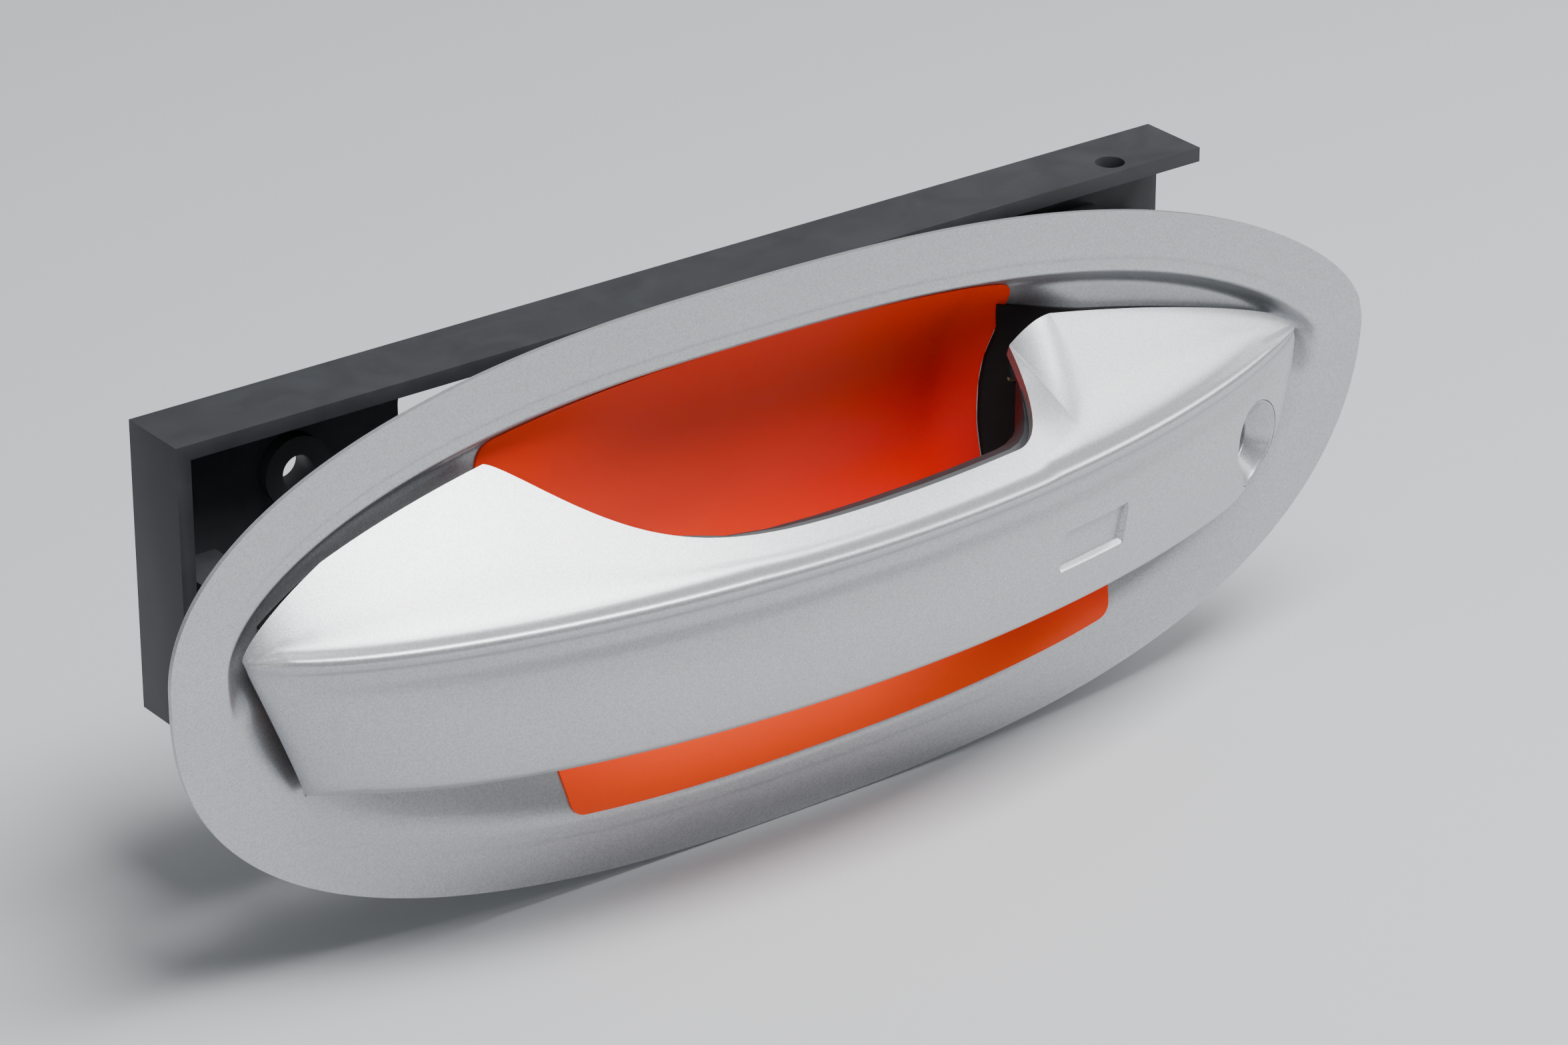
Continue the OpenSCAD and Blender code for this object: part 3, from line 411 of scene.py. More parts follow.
# Orange film, satin from its matt carrier. Its colour has painted shade and light: a deeper red
# painted as shade at its lower right, and a lighter orange painted as a highlight along the lower strip's
# bottom edge. It has a slight hand-laid ripple and faint squeegee streaks.
film, tree = blank("polyurethane_film_satin")
where = add(tree, "TexCoord", {}, {})
place = add(tree, "SeparateXYZ", {}, {"Vector": where.outputs["Object"]})
# across, down and shade mask the painted shade: the film's colour turns a deeper red towards its lower
# right, where the grip shades it.
across = add(tree, "MapRange", {"interpolation_type": "SMOOTHSTEP"}, {"Value": place.outputs["X"],
    "From Min": -0.02, "From Max": 0.058})
down = add(tree, "MapRange", {"interpolation_type": "SMOOTHSTEP"}, {"Value": place.outputs["Z"],
    "From Min": 0.026, "From Max": -0.008})
shade = add(tree, "Math", {"operation": "MULTIPLY"}, {0: across.outputs[0], 1: down.outputs[0]})
deep = add(tree, "Mix", {"data_type": "RGBA"}, {0: shade.outputs[0], 6: tone("#FF3603"),
    7: tone("#F20600")})
# strip masks a painted highlight: the film's colour turns a lighter orange towards the lower strip's bottom
# edge, where its surface turns up to the light.
strip = add(tree, "MapRange", {"interpolation_type": "SMOOTHSTEP"}, {"Value": place.outputs["Z"],
    "From Min": -0.036, "From Max": -0.056})
colour = add(tree, "Mix", {"data_type": "RGBA"}, {0: strip.outputs[0], 6: deep.outputs[2],
    7: tone("#FF4A0C")})
ripple = add(tree, "TexNoise", {}, {"Vector": where.outputs["Object"], "Scale": 90.0, "Detail": 2.0})
long = add(tree, "Mapping", {}, {"Vector": where.outputs["Object"], "Scale": (40, 40, 900)})
streak = add(tree, "TexNoise", {}, {"Vector": long.outputs["Vector"], "Scale": 1.0, "Detail": 3.0})
soft = add(tree, "Bump", {}, {"Height": ripple.outputs["Fac"], "Strength": 0.25, "Distance": 0.0002})
fine = add(tree, "Bump", {}, {"Height": streak.outputs["Fac"], "Strength": 0.12, "Distance": 0.00003,
    "Normal": soft.outputs["Normal"]})
surface = add(tree, "BsdfPrincipled", {}, {"Base Color": colour.outputs[2], "Roughness": 0.46, "IOR": 1.5,
    "Specular IOR Level": 0.22, "Normal": fine.outputs["Normal"]})
add(tree, "OutputMaterial", {}, {"Surface": surface.outputs["BSDF"]})
for piece, cad in ((upper, "upper_film"), (lower, "lower_film")):
    smooth(piece, 30)
    piece.data.materials.append(film)
    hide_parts(cad)
    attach(piece, "door_side")

# ---------------------------------------------------------------- gaskets
# Soft rubber sheets between the recess and the grip's pods. They are die cut, tucked
# round the hinge and pull openings, and show as a black line beside the grip.
gasket_t = 1.0


def slope(x):
    return 1.15 + 0.49 * np.maximum(0, x - front_pod) / handle_len


def base_out(x):
    """How far out the grip's base stands: it lifts towards the front tip."""
    return 2.0 * np.maximum(0, 1 - x / (hinge_x + 2)) - 2.5


def pod_top(x):
    return (bow(x) - base_out(x)) / slope(x)


def face_bottom(x):
    t = np.clip((x - (handle_len - 28)) / 28, 0, 0.995)
    return 30 * np.sqrt(1 - t * t)


front_gasket = closed_sheet("front_gasket_sheet", gasket_t, gasket_t, outside=False)
outline = [(x, float(pod_top(x)) - 3) for x in np.linspace(6, 50, 23)] + [(54, 0), (54, -27)] \
    + [(x, -28) for x in (50, 33, 16)]
combine(front_gasket, prism(outline[::-1], -10, 40, 0), "INTERSECT")
combine(front_gasket, prism(hinge_hole, -10, 40, 4), "DIFFERENCE")
combine(front_gasket, rod(front_seat, 6.5, -10, 40), "DIFFERENCE")
rear_gasket = closed_sheet("rear_gasket_sheet", gasket_t, gasket_t, outside=False)
outline = [(x, min(float(pod_top(x)), float(rim_up(x)) - 5) - 0.8) for x in np.linspace(leg_x - 5.7,
    handle_len - 5, 31)] \
    + [(x, 1.5 - float(face_bottom(x))) for x in np.linspace(handle_len - 7, leg_x - 3.7, 25)] \
    + [(x + 0.3, z) for x, z in film_edge[::-1]]
combine(rear_gasket, prism(outline[::-1], -10, 40, 0), "INTERSECT")
combine(rear_gasket, prism([(leg_x - 1.6, 0.5), (leg_x + 6.8, 0.5), (leg_x + 6.8, 9.5), (leg_x - 1.6, 9.5)],
    -10, 40, 1), "DIFFERENCE")
combine(rear_gasket, key_rod(10.2, 6, 30), "DIFFERENCE")
combine(rear_gasket, rod(rear_seat, 4.5, -10, 40), "DIFFERENCE")

# EPDM rubber with a matt moulded skin: near black, no sharp reflection, fine pebble.
rubber, tree = blank("epdm_rubber_moulded")
where = add(tree, "TexCoord", {}, {})
pebble = add(tree, "TexNoise", {}, {"Vector": where.outputs["Object"], "Scale": 1800.0, "Detail": 3.0})
dust = add(tree, "TexNoise", {}, {"Vector": where.outputs["Object"], "Scale": 120.0, "Detail": 3.0})
colour = add(tree, "Mix", {"data_type": "RGBA"}, {0: dust.outputs["Fac"], 6: tone("#0C0C0D"),
    7: tone("#1B1B1D")})
bump = add(tree, "Bump", {}, {"Height": pebble.outputs["Fac"], "Strength": 0.3, "Distance": 0.00008})
surface = add(tree, "BsdfPrincipled", {}, {"Base Color": colour.outputs[2], "Roughness": 0.72, "IOR": 1.5,
    "Specular IOR Level": 0.3, "Normal": bump.outputs["Normal"]})
add(tree, "OutputMaterial", {}, {"Surface": surface.outputs["BSDF"]})
for piece, cad in ((front_gasket, "front_gasket"), (rear_gasket, "rear_gasket")):
    smooth(piece, 30)
    piece.data.materials.append(rubber)
    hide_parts(cad)
    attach(piece, "door_side")

# ---------------------------------------------------------------- carrier
# Channel moulded in glass-filled nylon that bolts to the door's inner frame. It holds
# the hinge pin, the crank pin, the cable seat and the key cylinder.


def refined(cad, name, edge, body):
    """A smooth copy of a CAD solid whose edges are slightly broken, shown in its place."""
    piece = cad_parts[cad].copy()
    piece.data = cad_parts[cad].data.copy()
    bpy.context.scene.collection.objects.link(piece)
    piece.parent = None
    piece.name = piece.data.name = name
    for key in [k for k in piece.keys() if k.startswith("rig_")]:
        del piece[key]
    piece.data.materials.clear()
    deselect()
    piece.select_set(True)
    bpy.context.view_layer.objects.active = piece
    if piece.data.has_custom_normals:
        bpy.ops.mesh.customdata_custom_splitnormals_clear()
    bpy.ops.object.mode_set(mode="EDIT")
    bpy.ops.mesh.select_all(action="SELECT")
    bpy.ops.mesh.remove_doubles(threshold=1e-6)
    bpy.ops.mesh.dissolve_limited(angle_limit=math.radians(0.5))
    bpy.ops.object.mode_set(mode="OBJECT")
    if edge:
        use(piece, "BEVEL", width=edge * MM, segments=2, limit_method="ANGLE",
            angle_limit=math.radians(38), harden_normals=False)
    smooth(piece, 36)
    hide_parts(cad)
    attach(piece, body)
    return piece


carrier = refined("carrier", "carrier_moulding", 0.25, "door_side")

# Glass-filled nylon from a spark-eroded mould: dark grey, dull, with a fine even texture
# and faint pale swirls where the fibres lie.
nylon, tree = blank("glass_filled_nylon_moulded")
where = add(tree, "TexCoord", {}, {})
pit = add(tree, "TexNoise", {}, {"Vector": where.outputs["Object"], "Scale": 2200.0, "Detail": 4.0})
flow = add(tree, "TexNoise", {}, {"Vector": where.outputs["Object"], "Scale": 60.0, "Detail": 5.0,
    "Distortion": 1.5})
colour = add(tree, "Mix", {"data_type": "RGBA"}, {0: flow.outputs["Fac"], 6: tone("#1D1E20"),
    7: tone("#34363A")})
bump = add(tree, "Bump", {}, {"Height": pit.outputs["Fac"], "Strength": 0.28, "Distance": 0.00006})
rough = add(tree, "MapRange", {}, {"Value": flow.outputs["Fac"], "To Min": 0.48, "To Max": 0.62})
surface = add(tree, "BsdfPrincipled", {}, {"Base Color": colour.outputs[2], "Roughness": rough.outputs[0],
    "IOR": 1.53, "Normal": bump.outputs["Normal"]})
add(tree, "OutputMaterial", {}, {"Surface": surface.outputs["BSDF"]})
carrier.data.materials.append(nylon)

# ---------------------------------------------------------------- carrier screws
# Two zinc-plated steel screws that clamp the recess to the carrier from the front, under
# the grip's pods.
screws = refined("carrier_screws", "carrier_screw_pair", 0.2, "door_side")

# Zinc plate with clear passivation: grey metal with a faint yellow and blue cloud.
zinc, tree = blank("steel_zinc_plated")
where = add(tree, "TexCoord", {}, {})
cloud = add(tree, "TexNoise", {}, {"Vector": where.outputs["Object"], "Scale": 300.0, "Detail": 3.0})
colour = add(tree, "Mix", {"data_type": "RGBA"}, {0: cloud.outputs["Fac"], 6: tone("#B9B49A"),
    7: tone("#B5BCC6")})
turned = add(tree, "TexNoise", {}, {"Vector": where.outputs["Object"], "Scale": 2600.0, "Detail": 2.0})
bump = add(tree, "Bump", {}, {"Height": turned.outputs["Fac"], "Strength": 0.15, "Distance": 0.00003})
surface = add(tree, "BsdfPrincipled", {}, {"Base Color": colour.outputs[2], "Metallic": 1.0,
    "Roughness": 0.32,
    "Normal": bump.outputs["Normal"]})
add(tree, "OutputMaterial", {}, {"Surface": surface.outputs["BSDF"]})
screws.data.materials.append(zinc)

# ---------------------------------------------------------------- pins and clips
# Hardened steel pins, drawn and cut, pressed through the carrier's lugs. Spring clips
# snapped on their ends keep them from walking out.
hinge_pin = refined("hinge_pin", "hinge_pin_drawn", 0.3, "door_side")
crank_pin = refined("crank_pin", "crank_pin_drawn", 0.3, "door_side")
clips = refined("pin_clips", "pin_clip_set", 0.1, "door_side")

# Bright drawn steel: clean grey metal with hairlines along its length, Z on the pins.
steel, tree = blank("steel_bright_drawn")
where = add(tree, "TexCoord", {}, {})
fine = add(tree, "Mapping", {}, {"Vector": where.outputs["Object"], "Scale": (5000, 5000, 120)})
hair = add(tree, "TexNoise", {}, {"Vector": fine.outputs["Vector"], "Scale": 1.0, "Detail": 2.0})
colour = add(tree, "Mix", {"data_type": "RGBA"}, {0: hair.outputs["Fac"], 6: tone("#A4A6A8"),
    7: tone("#C4C6C8")})
bump = add(tree, "Bump", {}, {"Height": hair.outputs["Fac"], "Strength": 0.12, "Distance": 0.00002})
surface = add(tree, "BsdfPrincipled", {}, {"Base Color": colour.outputs[2], "Metallic": 1.0,
    "Roughness": 0.24,
    "Normal": bump.outputs["Normal"]})
add(tree, "OutputMaterial", {}, {"Surface": surface.outputs["BSDF"]})
hinge_pin.data.materials.append(steel)
crank_pin.data.materials.append(steel)

# Oil-tempered spring steel: dark blue-grey, slightly oily and uneven.
tempered, tree = blank("spring_steel_oil_tempered")
where = add(tree, "TexCoord", {}, {})
scale = add(tree, "TexNoise", {}, {"Vector": where.outputs["Object"], "Scale": 700.0, "Detail": 4.0})
colour = add(tree, "Mix", {"data_type": "RGBA"}, {0: scale.outputs["Fac"], 6: tone("#4A4C50"),
    7: tone("#6E7278")})
rough = add(tree, "MapRange", {}, {"Value": scale.outputs["Fac"], "To Min": 0.28, "To Max": 0.45})
surface = add(tree, "BsdfPrincipled", {}, {"Base Color": colour.outputs[2], "Metallic": 1.0,
    "Roughness": rough.outputs[0]})
add(tree, "OutputMaterial", {}, {"Surface": surface.outputs["BSDF"]})
clips.data.materials.append(tempered)

# ---------------------------------------------------------------- release crank
# Nylon lever on the crank pin. The grip's hook pulls its long arm and its short arm
# pulls the latch cable. A zinc weight keeps the door shut in a crash.
crank = refined("bell_crank", "bell_crank_moulding", 0.2, "crank")
crank.data.materials.append(nylon)
weight = refined("counterweight", "counterweight_casting", 0.4, "crank")

# Die-cast zinc as cast: warm grey, half dull, with fine flow marks.
cast, tree = blank("zinc_die_cast")
where = add(tree, "TexCoord", {}, {})
flow = add(tree, "TexNoise", {}, {"Vector": where.outputs["Object"], "Scale": 260.0, "Detail": 5.0,
    "Distortion": 0.8})
colour = add(tree, "Mix", {"data_type": "RGBA"}, {0: flow.outputs["Fac"], 6: tone("#8C8B87"),
    7: tone("#ACABA6")})
bump = add(tree, "Bump", {}, {"Height": flow.outputs["Fac"], "Strength": 0.2, "Distance": 0.00005})
surface = add(tree, "BsdfPrincipled", {}, {"Base Color": colour.outputs[2], "Metallic": 1.0,
    "Roughness": 0.46,
    "Normal": bump.outputs["Normal"]})
add(tree, "OutputMaterial", {}, {"Surface": surface.outputs["BSDF"]})
weight.data.materials.append(cast)

# ---------------------------------------------------------------- return spring
# Torsion spring wound from 1.1 mm wire round the crank's hub. One leg rests on the
# carrier and the other on the crank.
spring = refined("return_spring", "return_spring_coil", 0, "crank")
spring.data.materials.append(tempered)

# ---------------------------------------------------------------- cable anchor
# Moulded acetal bush that snaps into the carrier's slotted post and grips the end of
# the latch cable's sheath.
anchor = refined("cable_anchor", "cable_anchor_bush", 0.2, "door_side")

# Natural acetal: ivory, waxy, with light passing a little way into it.
acetal, tree = blank("acetal_moulded")
where = add(tree, "TexCoord", {}, {})
mist = add(tree, "TexNoise", {}, {"Vector": where.outputs["Object"], "Scale": 500.0, "Detail": 3.0})
colour = add(tree, "Mix", {"data_type": "RGBA"}, {0: mist.outputs["Fac"], 6: tone("#DAD5C4"),
    7: tone("#E8E4D6")})
bump = add(tree, "Bump", {}, {"Height": mist.outputs["Fac"], "Strength": 0.1, "Distance": 0.00004})
surface = add(tree, "BsdfPrincipled", {}, {"Base Color": colour.outputs[2], "Roughness": 0.38, "IOR": 1.48,
    "Normal": bump.outputs["Normal"]})
add(tree, "OutputMaterial", {}, {"Surface": surface.outputs["BSDF"]})
anchor.data.materials.append(acetal)

# ---------------------------------------------------------------- key cylinder
# Zinc housing clamped in the carrier by one grub screw. A brass plug turns in it and
# drives a steel lever, held by a clip, that works the lock rod.
housing = refined("lock_housing", "lock_housing_casting", 0.3, "door_side")
housing.data.materials.append(cast)
grub = refined("lock_screw", "lock_grub_screw", 0.15, "door_side")
grub.data.materials.append(zinc)
plug = refined("lock_plug", "lock_plug_turning", 0.2, "lock")

# Turned free-cutting brass: yellow metal with fine tool rings.
brass, tree = blank("brass_turned")
where = add(tree, "TexCoord", {}, {})
ring = add(tree, "TexNoise", {}, {"Vector": where.outputs["Object"], "Scale": 1500.0, "Detail": 2.0})
colour = add(tree, "Mix", {"data_type": "RGBA"}, {0: ring.outputs["Fac"], 6: tone("#B8954E"),
    7: tone("#D6B46A")})
bump = add(tree, "Bump", {}, {"Height": ring.outputs["Fac"], "Strength": 0.12, "Distance": 0.00003})
surface = add(tree, "BsdfPrincipled", {}, {"Base Color": colour.outputs[2], "Metallic": 1.0,
    "Roughness": 0.28,
    "Normal": bump.outputs["Normal"]})
add(tree, "OutputMaterial", {}, {"Surface": surface.outputs["BSDF"]})
plug.data.materials.append(brass)
lever = refined("tail_lever", "tail_lever_blank", 0.15, "lock")
lever.data.materials.append(steel)
lever_clip = refined("lever_clip", "lever_clip_ring", 0.08, "lock")
lever_clip.data.materials.append(tempered)

# ---------------------------------------------------------------- grip arms
# Two die-cast arms screwed inside the grip's pods: the front one turns on the hinge pin
# and the rear one reaches through the door to hook the crank.
hinge_arm = refined("hinge_arm", "hinge_arm_casting", 0.3, "grip")
pull_arm = refined("pull_arm", "pull_arm_casting", 0.3, "grip")

# Aluminium die cast and blasted: even light grey, matt, with a fine peened grain.
blasted, tree = blank("aluminium_cast_blasted")
where = add(tree, "TexCoord", {}, {})
peen = add(tree, "TexVoronoi", {"feature": "SMOOTH_F1"}, {"Vector": where.outputs["Object"],
    "Scale": 2400.0})
stain = add(tree, "TexNoise", {}, {"Vector": where.outputs["Object"], "Scale": 90.0, "Detail": 4.0})
colour = add(tree, "Mix", {"data_type": "RGBA"}, {0: stain.outputs["Fac"], 6: tone("#8E9194"),
    7: tone("#A9ACAF")})
bump = add(tree, "Bump", {}, {"Height": peen.outputs["Distance"], "Strength": 0.3, "Distance": 0.00006})
surface = add(tree, "BsdfPrincipled", {}, {"Base Color": colour.outputs[2], "Metallic": 1.0,
    "Roughness": 0.5,
    "Normal": bump.outputs["Normal"]})
add(tree, "OutputMaterial", {}, {"Surface": surface.outputs["BSDF"]})
hinge_arm.data.materials.append(blasted)
pull_arm.data.materials.append(blasted)

# ---------------------------------------------------------------- inner shell
# Back half of the grip, moulded in black glass-filled nylon. It carries the electronics
# and snaps into the outer shell before the arms are screwed on.
inner_shell = refined("grip_inner_shell", "grip_inner_shell_moulding", 0, "grip")
inner_shell.data.materials.append(nylon)

# ---------------------------------------------------------------- electronics
# Touch sensor board behind the touch recess with its plug socket, and a ferrite rod
# antenna that finds the key card. Both are potted in place.
board = refined("sensor_board", "sensor_board_laminate", 0.1, "grip")
socket = refined("sensor_socket", "sensor_plug_socket", 0.1, "grip")
socket.data.materials.append(acetal)
antenna = refined("ferrite_antenna", "ferrite_antenna_rod", 0.3, "grip")

# Solder mask over copper on glass laminate: deep green gloss, tracks just showing.
laminate, tree = blank("glass_laminate_solder_mask")
where = add(tree, "TexCoord", {}, {})
track = add(tree, "TexBrick", {"offset": 0.5}, {"Vector": where.outputs["Object"], "Scale": 420.0,
    "Color1": tone("#0E4A22"), "Color2": tone("#115528"), "Mortar": tone("#1C7A3A"), "Mortar Size": 0.03})
surface = add(tree, "BsdfPrincipled", {}, {"Base Color": track.outputs["Color"], "Roughness": 0.25,
    "IOR": 1.55,
    "Coat Weight": 0.4, "Coat Roughness": 0.1})
add(tree, "OutputMaterial", {}, {"Surface": surface.outputs["BSDF"]})
board.data.materials.append(laminate)

# Ferrite rod wound with enamelled copper wire 0.3 mm apart: dark ends, red-brown turns.
wound, tree = blank("ferrite_with_copper_winding")
where = add(tree, "TexCoord", {}, {})
turns = add(tree, "TexWave", {"bands_direction": "X", "wave_profile": "SIN"},
    {"Vector": where.outputs["Object"],
    "Scale": 520.0, "Distortion": 0.0})
part = add(tree, "SeparateXYZ", {}, {"Vector": where.outputs["Object"]})
mid_x = float((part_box("ferrite_antenna")[0].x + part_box("ferrite_antenna")[1].x) / 2)
away = add(tree, "Math", {"operation": "SUBTRACT"}, {0: part.outputs["X"], 1: mid_x})
span = add(tree, "Math", {"operation": "ABSOLUTE"}, {0: away.outputs[0]})
coil = add(tree, "Math", {"operation": "LESS_THAN"}, {0: span.outputs[0], 1: 0.017})
wire = add(tree, "Mix", {"data_type": "RGBA"}, {0: turns.outputs["Fac"], 6: tone("#5A2410"),
    7: tone("#B35A2A")})
colour = add(tree, "Mix", {"data_type": "RGBA"}, {0: coil.outputs[0], 6: tone("#2B2926"),
    7: wire.outputs[2]})
bump = add(tree, "Bump", {}, {"Height": turns.outputs["Fac"], "Strength": 0.4, "Distance": 0.0001})
surface = add(tree, "BsdfPrincipled", {}, {"Base Color": colour.outputs[2], "Roughness": 0.42, "IOR": 1.5,
    "Normal": bump.outputs["Normal"]})
add(tree, "OutputMaterial", {}, {"Surface": surface.outputs["BSDF"]})
antenna.data.materials.append(wound)

# ---------------------------------------------------------------- shell screws
# Six self-tapping screws that hold the arms to the inner shell, and two rubber pads on
# which the rear pod rests when the grip is closed.
shell_screws = refined("shell_screws", "shell_screw_set", 0.12, "grip")
shell_screws.data.materials.append(zinc)
bumpers = refined("rest_bumpers", "rest_bumper_pads", 0.2, "grip")
bumpers.data.materials.append(rubber)

# ---------------------------------------------------------------- outer shell
# Front half of the grip: moulded ABS, painted with the body. One soft ridge runs from
# tip to tip, with a shallow hollow under it and a turned-under lower edge.
front_blend_len, leg_len, band_h, grip_t, face_h, wall_t = 19.0, 26.0, 5.4, 16.5, 30.0, 2.2


def front_blend(x):
    return np.where(x < front_pod, 1.0, np.exp(-np.maximum(0, (x - front_pod) / front_blend_len) ** 1.35))


def rear_blend(x):
    gap = leg_x - x
    return np.where(gap < 0, 1.0, np.where(gap > leg_len, 0.0,
        np.cos(np.pi / 2 * np.clip(gap / leg_len, 0, 1)) ** 2))


def top_z(x):
    return np.minimum(pod_top(x), band_h + (pod_top(front_pod) - band_h) * front_blend(x)
        + (pod_top(leg_x) - band_h) * rear_blend(x))


def top_out(x):
    gap = leg_x - x
    drop = np.where(gap < 0, 0, 8 * np.clip((22 - gap) / 12, 0, 2) ** 2)
    return np.maximum(base_out(x), bow(x) - slope(x) * top_z(x) - drop)


def back_out(x):
    mix = np.clip(np.maximum(front_blend(x), rear_blend(x)), 0, 1)
    thin = bow(x) - grip_t
    return thin + (base_out(x) - thin) * step(mix), mix


# Height and depth of the ridge's bead, the hollow under it and the face down to its turned-under edge.
ridge_face = ((0, 0.035, 0.08, 0.135, 0.25, 0.47, 0.7, 0.86, 0.94, 1), (0, -0.35, -1.25, -1.3, -0.5,
    0.4, 0.3, -0.6, -2.2, -5.2))


def outer_line(x):
    """Key points of the outer surface at each station: outward distance and height."""
    b, h = bow(x), face_bottom(x)
    g = np.minimum(1, (b + 2.5) / 12)
    td, tz = top_out(x), top_z(x)
    gap = leg_x - x
    w = np.minimum(1.2 + 4.8 * np.sin(np.pi * np.clip((24 - gap) / 28, 0, 1)) ** 2, tz * 0.6)
    e = np.minimum(2.4, tz * 0.36)
    pd, pz = b - slope(x) * (tz - w), tz - w
    ad, az = b - slope(x) * e - 0.45 * g, e
    line = [(td, tz)]
    for s in (0.25, 0.5, 0.75, 1.0):
        line.append(((1 - s) ** 2 * td + 2 * s * (1 - s) * pd + s * s * ad,
            (1 - s) ** 2 * tz + 2 * s * (1 - s) * pz + s * s * az))
    line.append((b - 0.5 * g, e * 0.5))
    for t, f in zip(*ridge_face):
        line.append((b + f * g, -h * t))
    back, mix = back_out(x)
    line.append((np.maximum(back + 3 * (1 - mix), base_out(x)), -h))
    return np.stack([np.stack([d, z + 0 * d], -1) for d, z in line], 1)


def fair(points, parts):
    """A fair curve through the points of every row, with the given number of steps between them."""
    first = 2 * points[:, :1] - points[:, 1:2]
    last = 2 * points[:, -1:] - points[:, -2:-1]
    p = np.concatenate([first, points, last], 1)
    gap = np.maximum(np.linalg.norm(np.diff(p, axis=1), axis=2), 1e-3) ** 0.5
    t = np.concatenate([np.zeros((len(p), 1)), np.cumsum(gap, 1)], 1)
    out = []
    for i, n in enumerate(parts):
        a, b, c, d = (p[:, i + k] for k in range(4))
        ta, tb, tc, td = (t[:, i + k, None] for k in range(4))
        for s in np.arange(n) / n:
            u = tb + (tc - tb) * s
            ab = (tb - u) / (tb - ta) * a + (u - ta) / (tb - ta) * b
            bc = (tc - u) / (tc - tb) * b + (u - tb) / (tc - tb) * c
            cd = (td - u) / (td - tc) * c + (u - tc) / (td - tc) * d
            abc = (tc - u) / (tc - ta) * ab + (u - ta) / (tc - ta) * bc
            bcd = (td - u) / (td - tb) * bc + (u - tb) / (td - tb) * cd
            out.append((tc - u) / (tc - tb) * abc + (u - tb) / (tc - tb) * bcd)
    out.append(points[:, -1])
    return np.stack(out, 1)


touch_x, touch_l, touch_h, touch_floor = 172.5, 18.0, 7.0, 0.9
xs = np.concatenate([handle_len / 2 * (1 - np.cos(np.linspace(0, 0.62, 60))),
    np.linspace(24, 158, 200)[1:], np.linspace(158, 187, 110)[1:], np.linspace(187, 218, 50)[1:],
    handle_len - 27 + 26.9 * np.sin(np.linspace(0, np.pi / 2, 60)[1:])])
xs = np.unique(np.round(np.clip(xs, 0.02, handle_len - 0.1), 3))
key = outer_line(xs)
steps_between = [3, 5, 5, 6, 6, 5, 5, 6, 5, 8, 24, 22, 8, 6, 6, 6]
line = fair(key, steps_between)
# The touch recess: a leaning pocket with a flat floor and soft edges.
tilt = math.atan2(float(bow(touch_x + 10) - bow(touch_x - 10)), 20)
dx = xs[:, None] - touch_x
out = line[:, :, 0] - float(bow(touch_x))
along = dx * math.cos(tilt) + out * math.sin(tilt)
proud = out * math.cos(tilt) - dx * math.sin(tilt)
level = line[:, :, 1] + face_h / 2
lean = along - level / (touch_h / 2)
inside = np.minimum(touch_h / 2 - np.abs(level), (touch_l / 2 - np.abs(lean)) * 0.96)
sunk = step(inside / 0.55 + 0.5)
line[:, :, 0] -= (proud + touch_floor) * sunk * (proud + touch_floor > 0) / math.cos(tilt)
# The wall behind it, thinner where the tips run out.
wall = np.minimum(wall_t, np.minimum(0.42 * (bow(xs) - base_out(xs)), 0.3 * face_bottom(xs)))
back = fair(key, steps_between)
steps = np.gradient(back, axis=1)
steps /= np.maximum(np.linalg.norm(steps, axis=2, keepdims=True), 1e-6)
back = back + np.stack([steps[:, :, 1], -steps[:, :, 0]], 2) * wall[:, None, None]
section = np.concatenate([line, back[:, ::-1], line[:, :1]], 1)


def raked(x, section):
    """Sections in space: the front end slants back towards its bottom."""
    z = section[:, :, 1]
    lean = 12 * np.clip(1 - x / 90, 0, 1)[:, None] ** 2 * np.clip(-z / face_h, 0, 1)
    return np.stack([x[:, None] + lean, -section[:, :, 0], z], 2)


outer_shell = from_grid("grip_outer_shell_moulding", raked(xs, section), wrap=True)
bpy.ops.object.mode_set(mode="EDIT")
bpy.ops.mesh.select_all(action="DESELECT")
bpy.ops.mesh.select_non_manifold()
bpy.ops.mesh.fill_holes(sides=0)
bpy.ops.mesh.select_all(action="SELECT")
bpy.ops.mesh.normals_make_consistent(inside=False)
bpy.ops.object.mode_set(mode="OBJECT")
combine(outer_shell, key_rod(8.8, -6, 14), "DIFFERENCE")
smooth(outer_shell, 40)
outer_shell.data.materials.append(silver)
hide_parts("grip_outer_shell")
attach(outer_shell, "grip")

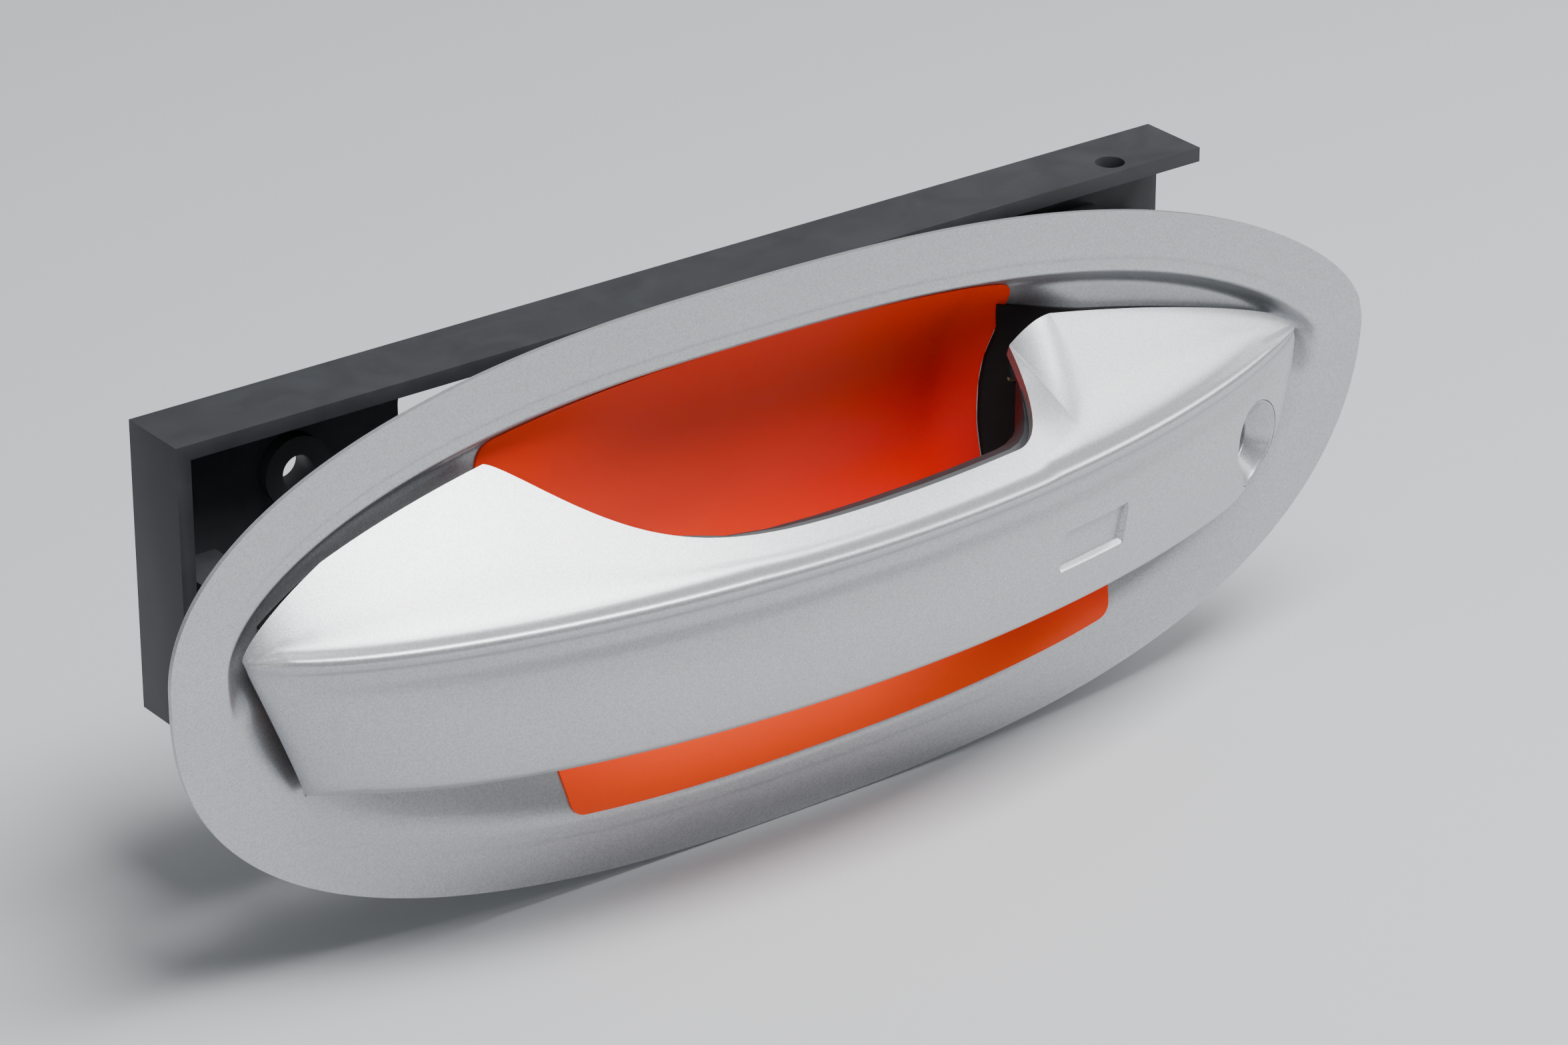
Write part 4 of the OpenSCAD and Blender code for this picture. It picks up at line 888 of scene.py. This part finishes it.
# ---------------------------------------------------------------- key funnel
# Countersunk ring in the rear pod that guides the key to the cylinder. Moulded with a
# rolled lip that follows the shell's surface, and painted with it.
funnel_r, throat_r, cone_deep, funnel_end = 8.78, 4.8, 4.6, 12.1
turn = np.linspace(0, 2 * np.pi, 129)
rings = []
into = np.array(key_frame)


def shell_depth(lx, ly):
    """Depth of the shell's painted surface under a point of the key's frame, in mm along its axis."""
    low, high = np.full(lx.shape, -6.0), np.full(lx.shape, 8.0)
    for _ in range(30):
        mid = (low + high) / 2
        world = np.stack([lx * MM, ly * MM, mid * MM, np.ones_like(lx)], -1) @ into.T
        x = (world[:, 0] - origin[0]) / MM
        z = world[:, 2] / MM
        out = -(world[:, 1] - origin[1]) / MM
        b, h = bow(x), face_bottom(x)
        g = np.minimum(1, (b + 2.5) / 12)
        surface = b + np.interp(-z / h, *ridge_face) * g
        outside = out > surface
        low, high = np.where(outside, mid, low), np.where(outside, high, mid)
    return (low + high) / 2


rim_z = shell_depth(funnel_r * np.cos(turn), funnel_r * np.sin(turn))
for radius, drop in ((funnel_r, 1.2), (funnel_r, 0.25), (funnel_r - 0.08, 0.07), (funnel_r - 0.24, 0.0),
        (funnel_r - 0.42, 0.06), (funnel_r - 0.56, 0.3)):
    rings.append(np.stack([radius * np.cos(turn), radius * np.sin(turn), rim_z + drop], 1))
for s in np.linspace(0.06, 1, 24):
    radius = (funnel_r - 0.6) + (throat_r - funnel_r + 0.6) * s
    depth = (rim_z + 0.35) * (1 - s) + cone_deep * s
    rings.append(np.stack([radius * np.cos(turn), radius * np.sin(turn), depth], 1))
for radius, depth in ((throat_r - 0.04, cone_deep + 0.2), (throat_r - 0.02, funnel_end),
        (throat_r + 1.05, funnel_end), (throat_r + 1.05, 9.2),
        (funnel_r, 2.2)):
    rings.append(np.stack([radius * np.cos(turn), radius * np.sin(turn), 0 * turn + depth], 1))
rings.append(rings[0])
funnel = from_grid("key_funnel_ring", (np.stack(rings) @ into[:3, :3].T + (into[:3,
    3] - origin) / MM), wrap=True)
smooth(funnel, 50)
funnel.data.materials.append(silver)
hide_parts("key_funnel")
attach(funnel, "grip")
